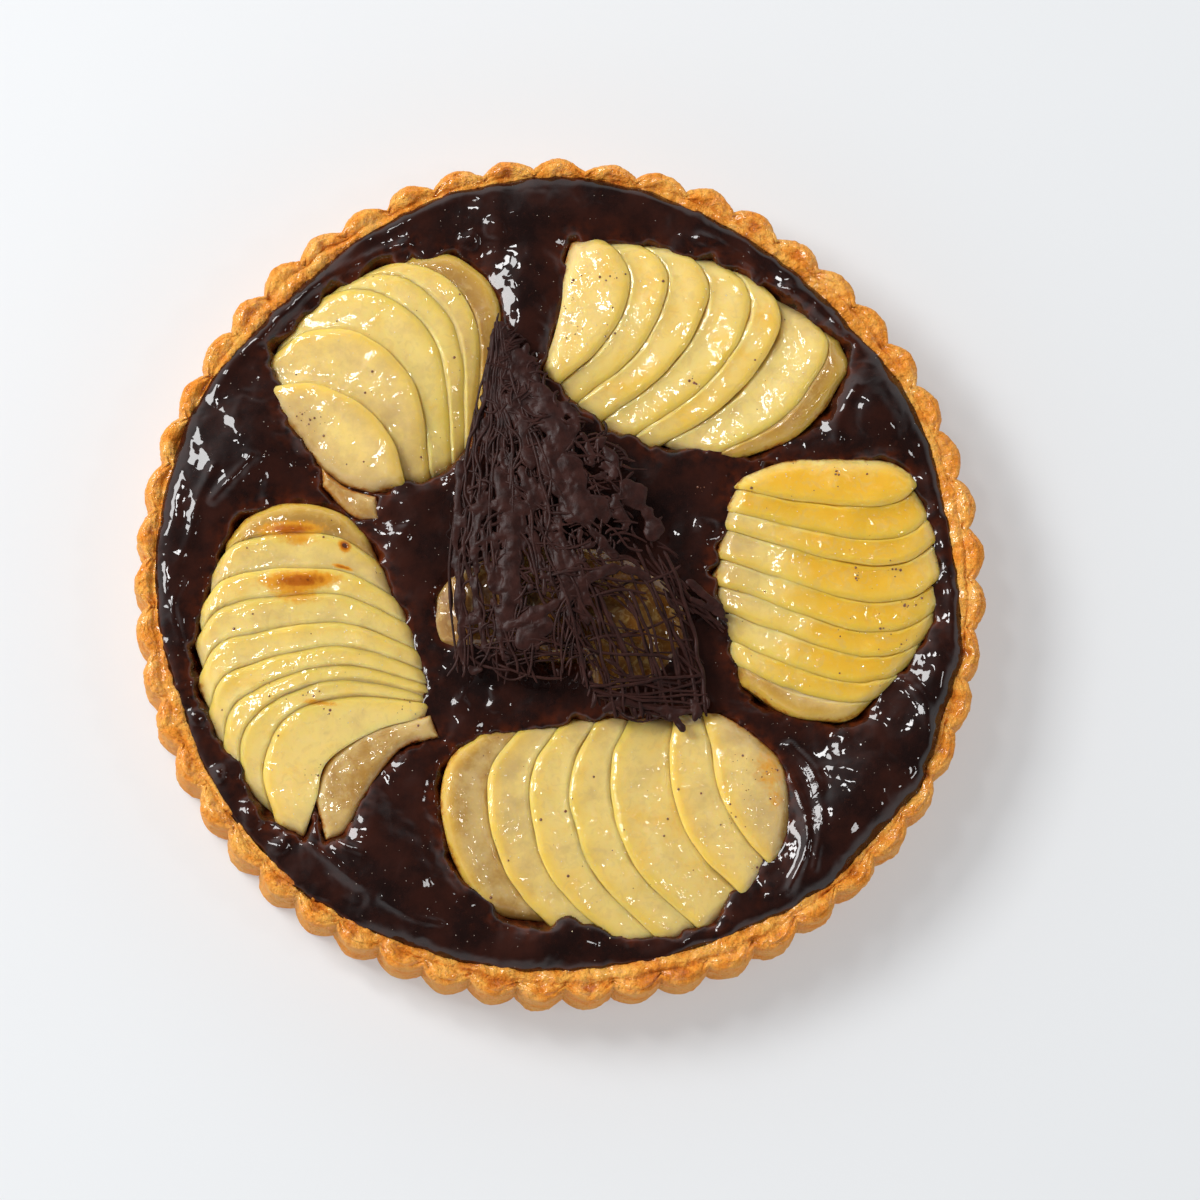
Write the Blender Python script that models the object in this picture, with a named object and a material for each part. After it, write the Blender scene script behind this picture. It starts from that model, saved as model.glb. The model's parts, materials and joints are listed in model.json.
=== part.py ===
"""Round fluted tart with a chocolate filling, five fans of sliced pear and a chocolate net on top.

Millimetres below, metres in the meshes. +Z is up, the base rests on z = 0, and +Y is the far side.
"""

import math
import random

import bmesh
import bpy
from mathutils import Vector

MM = 0.001
GAP = 0.3
ABOVE_ALL = 50.0

# Crust
FLUTES = 52
COLUMNS_PER_FLUTE = 5
FIRST_LOBE = math.radians(4.0)
LOBE_SHIFT = math.radians(1.7)
RIM_RADIUS = 110.6
FLUTE_DEPTH = 3.0
RIM_HEIGHT = 27.0
RIM_WAVE = 0.45
FOOT_ROUND = 1.4
WALL_LEAN = 0.7
LIP_ROUND = 1.4
CREASE_INSET = 4.2
LIP_DROP = 0.9
BASE_THICKNESS = 4.0
INNER_RADIUS = 103.0
INNER_DRAFT = 1.5

# Filling
FILL_LEVEL = 26.9
FILL_EDGE_DROP = 1.3
FILL_GAP = 0.45
FILL_COLUMNS = 104

# Pear slices, which lie in pockets of the filling
POCKET_FLOOR = 20.0
POCKET_GAP = 0.35
TUCK_GAP = 0.4
CREST_HEIGHT = 30.5
SLICE_TILT = math.radians(16.0)
CHAMFER_WIDTH = 0.8
CHAMFER_DROP = 0.7
ARC_POINTS = 10

# Net
NET_THICKNESS = 1.1
NET_REST_HEIGHT = 31.1
NET_CROWN = 4.6
STRAND_HALF_WIDTH = 0.55
NET_COLUMNS = 8
NET_ROWS = 10
SMALLEST_HOLE = 0.3
STRAND_STEP = 5.0

# Each mound of filling: x, y, half length, half width, turn in degrees, height
MOUNDS = (
    (-3.0, 96.0, 44.0, 8.0, 0.0, 2.2),
    (-9.0, 70.0, 22.0, 8.5, 90.0, 2.6),
    (-83.0, 29.0, 19.0, 17.0, 60.0, 4.2),
    (-101.0, 0.0, 30.0, 6.0, 90.0, 1.6),
    (-46.0, -74.0, 27.0, 16.0, -38.0, 4.6),
    (-8.0, -94.0, 24.0, 8.0, 0.0, 1.8),
    (74.0, -62.0, 31.0, 13.0, 52.0, 3.8),
    (97.0, -30.0, 22.0, 7.0, 75.0, 2.2),
    (82.0, 44.0, 15.0, 13.0, -60.0, 4.4),
    (64.0, 76.0, 26.0, 6.0, -45.0, 1.2),
    (-73.0, 72.0, 30.0, 5.0, 45.0, 1.2),
    (-42.0, 8.0, 14.0, 10.0, 80.0, 1.2),
)

# Each fan of slices. heel: the back edge of the top slice. arcs: the raised edge of the top, a middle and
# the last slice, each by five points from its left end to its right end. steps: where every slice's
# edge lies between them, from 0 to 1. cap_tilt: how steeply the top slice lies, in degrees.
FANS = {
    "upper_right": {
        "heel": ((2.5, 88.0), (0.5, 80.5), (0.0, 72.0), (-2.0, 63.0), (-5.0, 54.0)),
        "arcs": (
            ((9.5, 89.0), (15.5, 83.5), (17.5, 75.0), (11.5, 61.0), (-1.5, 49.5)),
            ((42.0, 83.0), (48.0, 76.5), (48.5, 66.5), (37.5, 50.0), (18.0, 36.0)),
            ((72.5, 62.5), (74.5, 56.0), (71.5, 49.5), (62.0, 37.5), (46.0, 31.0)),
        ),
        "steps": (0.0, 0.145, 0.31, 0.5, 0.64, 0.89, 1.0),
        "cap_tilt": 8.0,
    },
    "right": {
        "heel": ((46.5, 26.0), (58.5, 30.5), (71.5, 31.0), (84.5, 30.5), (91.5, 26.5)),
        "arcs": (
            ((45.0, 23.0), (58.0, 20.0), (75.0, 18.0), (87.0, 19.5), (92.5, 24.0)),
            ((40.0, -2.0), (55.5, -7.5), (75.0, -14.0), (89.0, -13.5), (98.0, -7.5)),
            ((47.0, -28.5), (58.0, -35.5), (69.5, -37.5), (76.0, -36.0), (81.0, -31.5)),
        ),
        "steps": (0.0, 0.118, 0.213, 0.366, 0.5, 0.622, 0.765, 0.89, 1.0),
        "cap_tilt": 10.0,
    },
    "bottom": {
        "heel": ((40.5, -35.5), (49.5, -41.0), (57.5, -49.5), (59.0, -61.5), (56.0, -73.0)),
        "arcs": (
            ((36.5, -36.0), (38.5, -44.5), (40.5, -55.0), (45.5, -65.5), (53.0, -74.5)),
            ((9.5, -36.5), (3.0, -48.5), (2.5, -61.5), (9.0, -78.5), (26.5, -95.0)),
            ((-21.5, -40.5), (-29.5, -49.0), (-31.0, -60.5), (-27.0, -75.5), (-20.0, -86.5)),
        ),
        "steps": (0.0, 0.145, 0.356, 0.5, 0.65, 0.811, 1.0),
        "cap_tilt": 9.0,
    },
    "left": {
        "heel": ((-66.0, -68.0), (-62.8, -58.0), (-60.0, -48.5), (-47.5, -40.5), (-34.5, -37.0)),
        "arcs": (
            ((-73.5, -64.5), (-76.5, -50.5), (-70.5, -37.0), (-54.5, -31.5), (-34.5, -33.0)),
            ((-93.5, -27.0), (-87.5, -18.0), (-71.0, -14.0), (-54.5, -13.0), (-36.5, -19.5)),
            ((-86.0, 9.0), (-80.0, 15.5), (-68.0, 18.5), (-57.5, 16.5), (-50.5, 11.0)),
        ),
        "steps": (0.0, 0.15, 0.25, 0.37, 0.5, 0.641, 0.75, 0.89, 1.0),
        "cap_tilt": 6.0,
    },
    "upper_left": {
        "heel": ((-75.5, 46.5), (-69.5, 37.0), (-62.5, 28.5), (-56.0, 23.5), (-48.5, 21.5)),
        "arcs": (
            ((-75.0, 49.0), (-63.0, 49.5), (-52.0, 44.5), (-44.0, 35.0), (-40.5, 23.5)),
            ((-72.0, 64.5), (-61.5, 73.0), (-46.0, 73.0), (-31.5, 58.0), (-28.0, 28.0)),
            ((-40.5, 85.0), (-27.5, 84.0), (-18.0, 75.5), (-15.5, 63.5), (-19.0, 41.0)),
        ),
        "steps": (0.0, 0.258, 0.5, 0.665, 0.823, 1.0),
        "cap_tilt": 9.0,
    },
}

# A loose slice tucked against the heel of a fan: the stretch of heel that it follows, its own edge, its top
TUCKED_SLICES = {
    "left": {
        "heel": (1, 4),
        "edge": ((-32.5, -42.0), (-41.0, -44.5), (-48.5, -53.0), (-55.0, -65.5), (-60.0, -68.0)),
        "height": 28.6,
    },
    "upper_left": {
        "heel": (2, 4),
        "edge": ((-49.8, 18.4), (-56.5, 20.2), (-61.6, 24.0)),
        "height": 27.6,
    },
}

CENTRE_PEAR = {"centre": (0.0, -11.5), "half_length": 33.5, "half_width": 20.0, "height": 30.4, "turn": -4.0}

# Outline of the net: its left side and right side from the tip down, and its lower edge from left to right
NET_LEFT = ((-17.5, 66.5), (-20.5, 50.5), (-24.0, 31.0), (-28.0, 2.0), (-25.5, -26.0))
NET_RIGHT = ((-13.0, 64.0), (-3.0, 47.0), (12.5, 35.0), (25.5, 10.0), (38.0, -36.0))
NET_BOTTOM = ((-25.5, -26.0), (-10.5, -27.5), (5.0, -29.0), (11.0, -37.5), (24.0, -39.0), (38.0, -36.0))

# Thick drizzle on the net: half width, then the points that it runs through
DRIZZLES = (
    (1.5, ((-19.5, 52.0), (-16.0, 38.0), (-12.5, 26.0))),
    (1.9, ((-14.5, 33.0), (-13.0, 13.0), (-13.0, -12.0))),
    (1.5, ((-22.0, -12.5), (-11.0, -11.0), (0.0, -7.5), (15.0, -1.5))),
    (3.1, ((-6.5, 44.0), (-0.5, 31.0), (2.5, 19.0), (8.5, 12.5))),
    (2.6, ((16.0, 18.0), (20.5, 12.0), (22.0, 5.0))),
    (2.6, ((6.5, 33.5), (10.5, 31.0))),
    (1.7, ((-11.0, -21.5), (-7.5, -15.5), (3.0, -8.0))),
    (1.2, ((11.5, -37.0), (24.0, -38.0), (37.0, -36.5))),
)

# Loose ends of thread that stick out past the net
LOOSE_THREADS = (
    ((22.0, 6.0), (36.0, -5.5), (41.5, -11.0)),
    ((20.0, 2.0), (35.0, -8.5), (42.5, -12.5)),
    ((22.0, -2.0), (36.0, -11.0), (40.0, -15.5)),
    ((-14.5, 52.0), (-13.5, 62.5), (-16.5, 68.5)),
    ((-16.0, 48.0), (-21.0, 57.5), (-22.0, 61.0)),
    ((20.0, -30.0), (29.0, -39.0), (33.5, -42.5)),
    ((-22.0, 14.0), (-29.5, 0.0), (-30.0, -6.0)),
)


def clear_scene():
    for old in list(bpy.data.objects):
        bpy.data.objects.remove(old, do_unlink=True)


def make_material(name, colour, roughness):
    material = bpy.data.materials.new(name)
    material.use_nodes = True
    shader = material.node_tree.nodes["Principled BSDF"]
    shader.inputs["Base Color"].default_value = (*colour, 1.0)
    shader.inputs["Roughness"].default_value = roughness
    shader.inputs["Metallic"].default_value = 0.0
    return material


def add_object(name, bm, material):
    """Makes a named object from a mesh in millimetres, with its faces turned outwards."""
    bmesh.ops.recalc_face_normals(bm, faces=bm.faces)
    bmesh.ops.scale(bm, vec=Vector((MM, MM, MM)), verts=bm.verts)
    mesh = bpy.data.meshes.new(name)
    bm.to_mesh(mesh)
    bm.free()
    mesh.materials.append(material)
    mesh.shade_smooth()
    mesh.set_sharp_from_angle(angle=math.radians(35.0))
    thing = bpy.data.objects.new(name, mesh)
    bpy.context.scene.collection.objects.link(thing)
    return thing


def cut_with(target, cutter):
    """Cuts target with cutter at once, and removes the cutter."""
    step = target.modifiers.new("Cut", "BOOLEAN")
    step.operation = "DIFFERENCE"
    step.solver = "MANIFOLD"
    step.object = cutter
    apply_modifiers(target)
    bpy.data.objects.remove(cutter, do_unlink=True)


def apply_modifiers(target):
    graph = bpy.context.evaluated_depsgraph_get()
    mesh = bpy.data.meshes.new_from_object(target.evaluated_get(graph))
    target.modifiers.clear()
    target.data = mesh


def through(points, count):
    """A smooth curve through the points, read at count places an even share of the way along."""
    given = [Vector(point) for point in points]
    ends = [given[0] * 2 - given[1], *given, given[-1] * 2 - given[-2]]
    curve = []
    for index in range(count):
        place = index / (count - 1) * (len(given) - 1)
        start = min(int(place), len(given) - 2)
        curve.append(spline(ends[start:start + 4], place - start))
    return curve


def spline(four, share):
    """The Catmull-Rom curve between the middle two of four points."""
    before, start, end, after = four
    bend = (before * 2 - start * 5 + end * 4 - after) * share ** 2
    twist = (start * 3 - before - end * 3 + after) * share ** 3
    return (start * 2 + (end - before) * share + bend + twist) * 0.5


def offset_line(points, distance, closed=True):
    """The points moved to the right of their path, which is outwards on an anticlockwise outline."""
    moved = []
    count = len(points)
    for index, point in enumerate(points):
        before = points[index - 1] if closed or index else point * 2 - points[1]
        after = points[(index + 1) % count] if closed or index < count - 1 else point * 2 - points[index - 1]
        first = to_the_right(point - before)
        corner = (first + to_the_right(after - point)).normalized()
        moved.append(point + corner * distance / max(0.3, corner.dot(first)))
    return moved


def to_the_right(step):
    return Vector((step.y, -step.x)).normalized()


def signed_area(outline):
    pairs = zip(outline, outline[1:] + outline[:1])
    return sum(a.x * b.y - b.x * a.y for a, b in pairs) / 2


def anticlockwise(outline):
    return outline if signed_area(outline) > 0 else outline[::-1]


def spaced(outline, shortest=0.8):
    """The outline without points that nearly touch the one before."""
    kept = []
    for point in outline:
        if not kept or (point - kept[-1]).length > shortest:
            kept.append(point)
    if (kept[0] - kept[-1]).length < shortest:
        kept.pop()
    return kept


def hull(points):
    """The anticlockwise outline of a band stretched round the points."""
    ordered = sorted(points, key=lambda point: (point.x, point.y))
    outline = []
    for row in (ordered, ordered[::-1]):
        start = len(outline)
        for point in row:
            while len(outline) > start + 1 and turns_right(outline[-2], outline[-1], point):
                outline.pop()
            outline.append(point)
        outline.pop()
    return outline


def turns_right(first, second, third):
    return (second - first).cross(third - second) <= 0


def prism(outline, low, high):
    bm = bmesh.new()
    floor = bm.faces.new([bm.verts.new((point.x, point.y, low)) for point in outline])
    grown = bmesh.ops.extrude_face_region(bm, geom=[floor])
    raised = [part for part in grown["geom"] if isinstance(part, bmesh.types.BMVert)]
    bmesh.ops.translate(bm, verts=raised, vec=Vector((0.0, 0.0, high - low)))
    bmesh.ops.recalc_face_normals(bm, faces=bm.faces)
    return bm


def slice_off(bm, point, normal):
    """Removes what lies on the normal's side of a plane, and returns the face that closes the cut."""
    everything = bm.verts[:] + bm.edges[:] + bm.faces[:]
    cut = bmesh.ops.bisect_plane(
        bm, geom=everything, dist=1e-5, plane_co=point, plane_no=normal, clear_outer=True
    )
    rim = [part for part in cut["geom_cut"] if isinstance(part, bmesh.types.BMEdge)]
    return bmesh.ops.holes_fill(bm, edges=rim)["faces"]


def even_angles(count):
    return [math.tau * index / count for index in range(count)]


def ring(radius_at, height_at, angles):
    """A closed ring of points at the angles, with its radius and height given by the angle."""
    points = []
    for angle in angles:
        radius = radius_at(angle)
        points.append(Vector((radius * math.cos(angle), radius * math.sin(angle), height_at(angle))))
    return points


def add_ring(bm, points):
    return [bm.verts.new(point) for point in points]


def bridge(bm, wide, narrow):
    """Joins two rings. The first has as many points as the second, or a whole number of times as many."""
    ratio = len(wide) // len(narrow)
    for index, inner in enumerate(narrow):
        following = narrow[(index + 1) % len(narrow)]
        half = ratio // 2
        for step in range(ratio):
            left = wide[index * ratio + step]
            right = wide[(index * ratio + step + 1) % len(wide)]
            bm.faces.new((left, right, inner if step <= half else following))
            if step == half:
                bm.faces.new((right, following, inner))


def rim_out_of_round(angle):
    return -0.5 * math.sin(2 * angle) - 0.8 * math.sin(3 * angle) + 0.15 * math.sin(11 * angle + 1.0)


def lobe_angle(number):
    """The angle of a place counted in lobes, which sit a little closer together at the lower left."""
    turn = math.tau * number / FLUTES
    return FIRST_LOBE + turn + LOBE_SHIFT * (1 - math.cos(turn) + math.sin(turn))


def flute(number):
    """From 0 in the sharp valleys to 1 on the round lobes."""
    return abs(math.cos(math.pi * number)) ** 0.85


def inner_radius(angle):
    """The crust is narrow at the left and lower right, and broad at the upper right and the bottom."""
    wave = 0.85 * math.cos(angle + 2.88) + math.cos(2 * angle + 0.65)
    wave += 2.1 * math.cos(3 * angle + 1.68) + 0.65 * math.cos(4 * angle + 1.01)
    return INNER_RADIUS + wave


def rim_height(angle):
    return RIM_HEIGHT + RIM_WAVE * math.sin(5 * angle + 0.7) * math.cos(3 * angle) + 0.2 * math.sin(17 * angle)


def fluted_ring(inset, depth, height_at):
    """A ring of the fluted side, inset from the rim, with flutes of the depth."""
    points = []
    for index in range(FLUTES * COLUMNS_PER_FLUTE):
        number = index / COLUMNS_PER_FLUTE
        angle = lobe_angle(number)
        radius = RIM_RADIUS + rim_out_of_round(angle) - inset - depth * (1 - flute(number))
        points.append(Vector((radius * math.cos(angle), radius * math.sin(angle), height_at(angle, flute(number)))))
    return points


def make_crust(material):
    rings = [
        fluted_ring(FOOT_ROUND, FLUTE_DEPTH, lambda angle, lobe: 0.0),
        fluted_ring(0.0, FLUTE_DEPTH, lambda angle, lobe: FOOT_ROUND),
        fluted_ring(WALL_LEAN, FLUTE_DEPTH, lambda angle, lobe: rim_height(angle) - LIP_ROUND),
        fluted_ring(WALL_LEAN + LIP_ROUND, FLUTE_DEPTH * 0.8, lambda angle, lobe: rim_height(angle)),
        fluted_ring(CREASE_INSET, FLUTE_DEPTH * 0.25, lambda angle, lobe: rim_height(angle) - 0.9 + 0.6 * lobe),
    ]
    centre_on_origin(rings)
    lip = [lobe_angle(index / COLUMNS_PER_FLUTE) for index in range(FLUTES * COLUMNS_PER_FLUTE)]
    well = [lobe_angle(index) for index in range(FLUTES)]
    rings.append(ring(inner_radius, lambda angle: rim_height(angle) - LIP_DROP, lip))
    rings.append(ring(lambda angle: inner_radius(angle) - INNER_DRAFT, lambda angle: BASE_THICKNESS, well))
    bm = bmesh.new()
    loops = [add_ring(bm, points) for points in rings]
    for wide, narrow in zip(loops, loops[1:]):
        bridge(bm, wide, narrow)
    bm.faces.new(loops[0][::-1])
    bm.faces.new(loops[-1])
    return add_object("crust", bm, material)


def centre_on_origin(rings):
    """Shifts the outer rings so that the tart's box is centred on the origin."""
    points = rings[1]
    shift = Vector((
        -(min(p.x for p in points) + max(p.x for p in points)) / 2,
        -(min(p.y for p in points) + max(p.y for p in points)) / 2,
        0.0,
    ))
    for points in rings:
        for point in points:
            point += shift


def mound_height(x, y):
    total = 0.0
    for mound_x, mound_y, length, width, turn, height in MOUNDS:
        angle = math.radians(turn)
        along = (x - mound_x) * math.cos(angle) + (y - mound_y) * math.sin(angle)
        across = (y - mound_y) * math.cos(angle) - (x - mound_x) * math.sin(angle)
        reach = (along / length) ** 2 + (across / width) ** 2
        total += height * math.exp(-reach * 1.4)
    return total


def filling_height(x, y):
    """Height of the filling's top. It rounds down to the crust over the last few millimetres."""
    radius = math.hypot(x, y)
    edge = inner_radius(math.atan2(y, x)) - FILL_GAP
    near = max(0.0, 1.0 - (edge - radius) / 5.0)
    ripple = 0.35 * math.sin(x / 6.0 + 1.0) * math.cos(y / 7.0) + 0.2 * math.sin((x + y) / 3.7)
    return FILL_LEVEL + (mound_height(x, y) + ripple) * (1 - 0.75 * near ** 2) - FILL_EDGE_DROP * near ** 2


def make_filling(material):
    fine = even_angles(FILL_COLUMNS)
    coarse = even_angles(FILL_COLUMNS // 2)
    bottom = BASE_THICKNESS + GAP
    rings = [ring(lambda angle: inner_radius(angle) - INNER_DRAFT - FILL_GAP, lambda angle: bottom, fine)]
    edge_steps = [1.0, 0.985, 0.96]
    inner_steps = [0.92 - 0.095 * index for index in range(10)]
    for share in edge_steps + inner_steps:
        angles = fine if share in edge_steps else coarse
        level = ring(lambda angle: (inner_radius(angle) - FILL_GAP) * share, lambda angle: 0.0, angles)
        for point in level:
            point.z = filling_height(point.x, point.y)
        rings.append(level)
    bm = bmesh.new()
    loops = [add_ring(bm, points) for points in rings]
    for wide, narrow in zip(loops, loops[1:]):
        bridge(bm, wide, narrow)
    bm.faces.new(loops[0][::-1])
    middle = bm.verts.new((0.0, 0.0, filling_height(0.0, 0.0)))
    for index, start in enumerate(loops[-1]):
        bm.faces.new((start, loops[-1][(index + 1) % len(loops[-1])], middle))
    return add_object("chocolate_filling", bm, material)


def blended_points(fan, share):
    """The five points of an edge that lies share of the way from the top slice to the last, on smooth paths."""
    weights = ((1 - share) * (1 - 2 * share), 4 * share * (1 - share), share * (2 * share - 1))
    points = []
    for same_place in zip(*fan["arcs"]):
        weighted = (Vector(point) * weight for point, weight in zip(same_place, weights))
        points.append(sum(weighted, Vector((0.0, 0.0))))
    return points


def slice_edges(fan):
    return [through(blended_points(fan, share), ARC_POINTS) for share in fan["steps"]]


def slice_outline(fan, edges, index):
    """The slice seen from above: its raised edge, the ends of the edges above it and the fan's heel."""
    heel = [Vector(point) for point in fan["heel"]]
    right_side = [edge[-1] for edge in edges[:index][::-1]]
    left_side = [edge[0] for edge in edges[:index]]
    return anticlockwise(spaced([*edges[index], *right_side, *heel[::-1], *left_side]))


def slice_plane(edge, heel, tilt):
    """A point and the upward normal of the plane of a leaning slice's top."""
    chord = edge[-1] - edge[0]
    lean = Vector((chord.y, -chord.x)).normalized()
    if lean.dot(edge[len(edge) // 2] - sum(heel, Vector((0.0, 0.0))) / len(heel)) < 0:
        lean = -lean
    crest = max(edge, key=lean.dot)
    slope = math.tan(tilt)
    normal = Vector((-slope * lean.x, -slope * lean.y, 1.0)).normalized()
    return Vector((crest.x, crest.y, CREST_HEIGHT)), normal


def make_slice(name, outline, top, under, material):
    """A slab of pear between two planes, cut level where it meets the pocket's floor."""
    bm = prism(outline, POCKET_FLOOR, ABOVE_ALL)
    point, normal = top
    lid = slice_off(bm, point - Vector((0.0, 0.0, CHAMFER_DROP)), normal)
    bmesh.ops.inset_region(
        bm, faces=lid, thickness=CHAMFER_WIDTH, depth=CHAMFER_DROP, use_boundary=True, use_even_offset=True
    )
    if under:
        point, normal = under
        slice_off(bm, point + Vector((0.0, 0.0, GAP / normal.z)), -normal)
    bmesh.ops.triangulate(bm, faces=bm.faces)
    return add_object(name, bm, material)


def make_fan(place, fan, material):
    edges = slice_edges(fan)
    heel = [Vector(point) for point in fan["heel"]]
    tilts = [math.radians(fan["cap_tilt"])] + [SLICE_TILT] * (len(edges) - 1)
    planes = [slice_plane(edge, heel, tilt) for edge, tilt in zip(edges, tilts)]
    for index in range(len(edges)):
        under = planes[index + 1] if index + 1 < len(edges) else None
        outline = slice_outline(fan, edges, index)
        make_slice(f"pear_{place}_{index + 1}", outline, planes[index], under, material)
    return [hull(sum(edges, [])), slice_outline(fan, edges, len(edges) - 1)]


def make_tucked_slice(place, tucked, number, material):
    """A loose end slice whose back follows the heel of its fan."""
    start, end = tucked["heel"]
    heel = [Vector(point) for point in FANS[place]["heel"]][start:end + 1]
    edge = [Vector(point) for point in tucked["edge"]]
    middle = sum(edge, Vector((0.0, 0.0))) / len(edge)
    following = offset_line(heel, TUCK_GAP, closed=False)
    if (following[1] - middle).length > (heel[1] - middle).length:
        following = offset_line(heel, -TUCK_GAP, closed=False)
    outline = anticlockwise(spaced([*following, *edge]))
    level = (Vector((*middle, tucked["height"])), Vector((0.0, 0.0, 1.0)))
    make_slice(f"pear_{place}_{number}", outline, level, None, material)
    return outline


def make_centre_pear(material):
    """A half pear lying flat under the net, low and domed."""
    size = CENTRE_PEAR
    turn = math.radians(size["turn"])
    bm = bmesh.new()
    rise = size["height"] - POCKET_FLOOR
    loops = []
    for share, lift in ((1.0, 0.0), (1.0, 0.55), (0.93, 0.78), (0.72, 0.93), (0.4, 0.99)):
        loops.append(add_ring(bm, ellipse(size, turn, share, POCKET_FLOOR + rise * lift, 28)))
    for low, high in zip(loops, loops[1:]):
        bridge(bm, low, high)
    bm.faces.new(loops[0][::-1])
    bm.faces.new(loops[-1])
    add_object("pear_centre", bm, material)
    return [point.xy for point in ellipse(size, turn, 1.0, 0.0, 28)]


def ellipse(size, turn, share, height, count):
    points = []
    for index in range(count):
        angle = math.tau * index / count
        along = size["half_length"] * share * math.cos(angle)
        across = size["half_width"] * share * math.sin(angle)
        x = size["centre"][0] + along * math.cos(turn) - across * math.sin(turn)
        y = size["centre"][1] + along * math.sin(turn) + across * math.cos(turn)
        points.append(Vector((x, y, height)))
    return points


def cut_pockets(filling, outlines, material):
    for outline in outlines:
        widened = offset_line(anticlockwise(outline), POCKET_GAP)
        pocket = prism(widened, POCKET_FLOOR - GAP, ABOVE_ALL)
        cut_with(filling, add_object("pocket", pocket, material))


def net_height(x, y):
    """Height of the middle of the net: it rests at its tip and lower edge, and arches in between."""
    arch = 1.0 - ((x - 3.0) / 38.0) ** 2 - ((y - 6.0) / 50.0) ** 2
    ripple = 0.5 * math.sin(x / 5.0) * math.sin(y / 8.0 + 0.6)
    return NET_REST_HEIGHT + NET_THICKNESS / 2 + (NET_CROWN + ripple) * max(0.0, arch)


def net_points(rows, columns):
    """The crossings of the net, between its left side, right side and lower edge."""
    left = through(NET_LEFT, rows + 1)
    right = through(NET_RIGHT, rows + 1)
    bottom = through(NET_BOTTOM, columns + 1)
    chance = random.Random(7)
    grid = []
    for row in range(rows + 1):
        down = row / rows
        line = []
        for column in range(columns + 1):
            across = column / columns
            point = left[row].lerp(right[row], across)
            point += (bottom[column] - bottom[0].lerp(bottom[-1], across)) * down ** 3
            shake = 0.28 * (right[row] - left[row]).length / columns
            point += Vector((chance.uniform(-shake, shake), chance.uniform(-shake, shake)))
            line.append(Vector((point.x, point.y, net_height(point.x, point.y))))
        grid.append(line)
    return grid


def hole_corners(corners):
    """The corners of the gap inside one mesh of the net, or nothing where the strands run together."""
    middle = sum(corners, Vector()) / 4
    narrowest = min((corner - middle).length for corner in corners)
    share = 1.0 - STRAND_HALF_WIDTH * math.sqrt(2.0) / narrowest
    if share < SMALLEST_HOLE:
        return None
    return [middle + (corner - middle) * share for corner in corners]


def net_is_solid(row, column):
    """The net has run together near its tip and in patches at its left and upper edge."""
    return row < 2 or (column + 2 * row) % 5 == 0 and row < 8 or (column in (1, 4) and row in (4, 5, 6))


def make_net_mesh():
    grid = net_points(NET_ROWS, NET_COLUMNS)
    bm = bmesh.new()
    lift = Vector((0.0, 0.0, NET_THICKNESS / 2))
    upper = [add_ring(bm, [point + lift for point in line]) for line in grid]
    lower = [add_ring(bm, [point - lift for point in line]) for line in grid]
    for row in range(NET_ROWS):
        for column in range(NET_COLUMNS):
            around = ((row, column), (row, column + 1), (row + 1, column + 1), (row + 1, column))
            top = [upper[r][c] for r, c in around]
            under = [lower[r][c] for r, c in around]
            gap = None if net_is_solid(row, column) else hole_corners([grid[r][c] for r, c in around])
            if gap is None:
                bm.faces.new(top)
                bm.faces.new(under[::-1])
                continue
            top_gap = add_ring(bm, [point + lift for point in gap])
            under_gap = add_ring(bm, [point - lift for point in gap])
            for side in range(4):
                following = (side + 1) % 4
                bm.faces.new((top[side], top[following], top_gap[following], top_gap[side]))
                bm.faces.new((under[following], under[side], under_gap[side], under_gap[following]))
                bm.faces.new((top_gap[side], top_gap[following], under_gap[following], under_gap[side]))
    close_border(bm, border_of(upper), border_of(lower))
    return bm


def border_of(grid):
    right = [line[-1] for line in grid[1:-1]]
    left = [line[0] for line in grid[1:-1]]
    return [*grid[0], *right, *grid[-1][::-1], *left[::-1]]


def close_border(bm, upper, lower):
    for index, start in enumerate(upper):
        following = (index + 1) % len(upper)
        bm.faces.new((start, lower[index], lower[following], upper[following]))


def strand(points, half_width, sides, flat=1.0):
    """A tube along the net through the points, with few sides and pointed towards its ends."""
    length = sum((Vector(end) - Vector(start)).length for start, end in zip(points, points[1:]))
    count = max(4, round(length / STRAND_STEP))
    path = through(points, count)
    bm = bmesh.new()
    loops = []
    for index, point in enumerate(path):
        before = path[max(index - 1, 0)]
        after = path[min(index + 1, count - 1)]
        along = (after - before).normalized()
        across = Vector((along.y, -along.x, 0.0))
        width = half_width * (0.7 if index in (0, count - 1) else 1.0)
        up = Vector((0.0, 0.0, width * flat))
        centre = Vector((point.x, point.y, net_height(point.x, point.y) + NET_THICKNESS * 0.3))
        turns = [math.tau * (side + 0.5) / sides for side in range(sides)]
        loops.append(add_ring(bm, [centre + across * width * math.cos(t) + up * math.sin(t) for t in turns]))
    for low, high in zip(loops, loops[1:]):
        bridge(bm, low, high)
    bm.faces.new(loops[0][::-1])
    bm.faces.new(loops[-1])
    return bm


def make_net(material):
    net = add_object("chocolate_net", make_net_mesh(), material)
    fused = bpy.data.collections.new("fused")
    bpy.context.scene.collection.children.link(fused)
    pieces = [strand(points, half_width, 6, 0.45) for half_width, points in DRIZZLES]
    pieces += [strand(points, STRAND_HALF_WIDTH, 4) for points in LOOSE_THREADS]
    for index, piece in enumerate(pieces):
        thing = add_object(f"strand_{index + 1}", piece, material)
        bpy.context.scene.collection.objects.unlink(thing)
        fused.objects.link(thing)
    step = net.modifiers.new("Fuse", "BOOLEAN")
    step.operation = "UNION"
    step.operand_type = "COLLECTION"
    step.collection = fused
    step.solver = "MANIFOLD"
    apply_modifiers(net)
    for thing in list(fused.objects):
        bpy.data.objects.remove(thing, do_unlink=True)
    bpy.data.collections.remove(fused)


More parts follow.
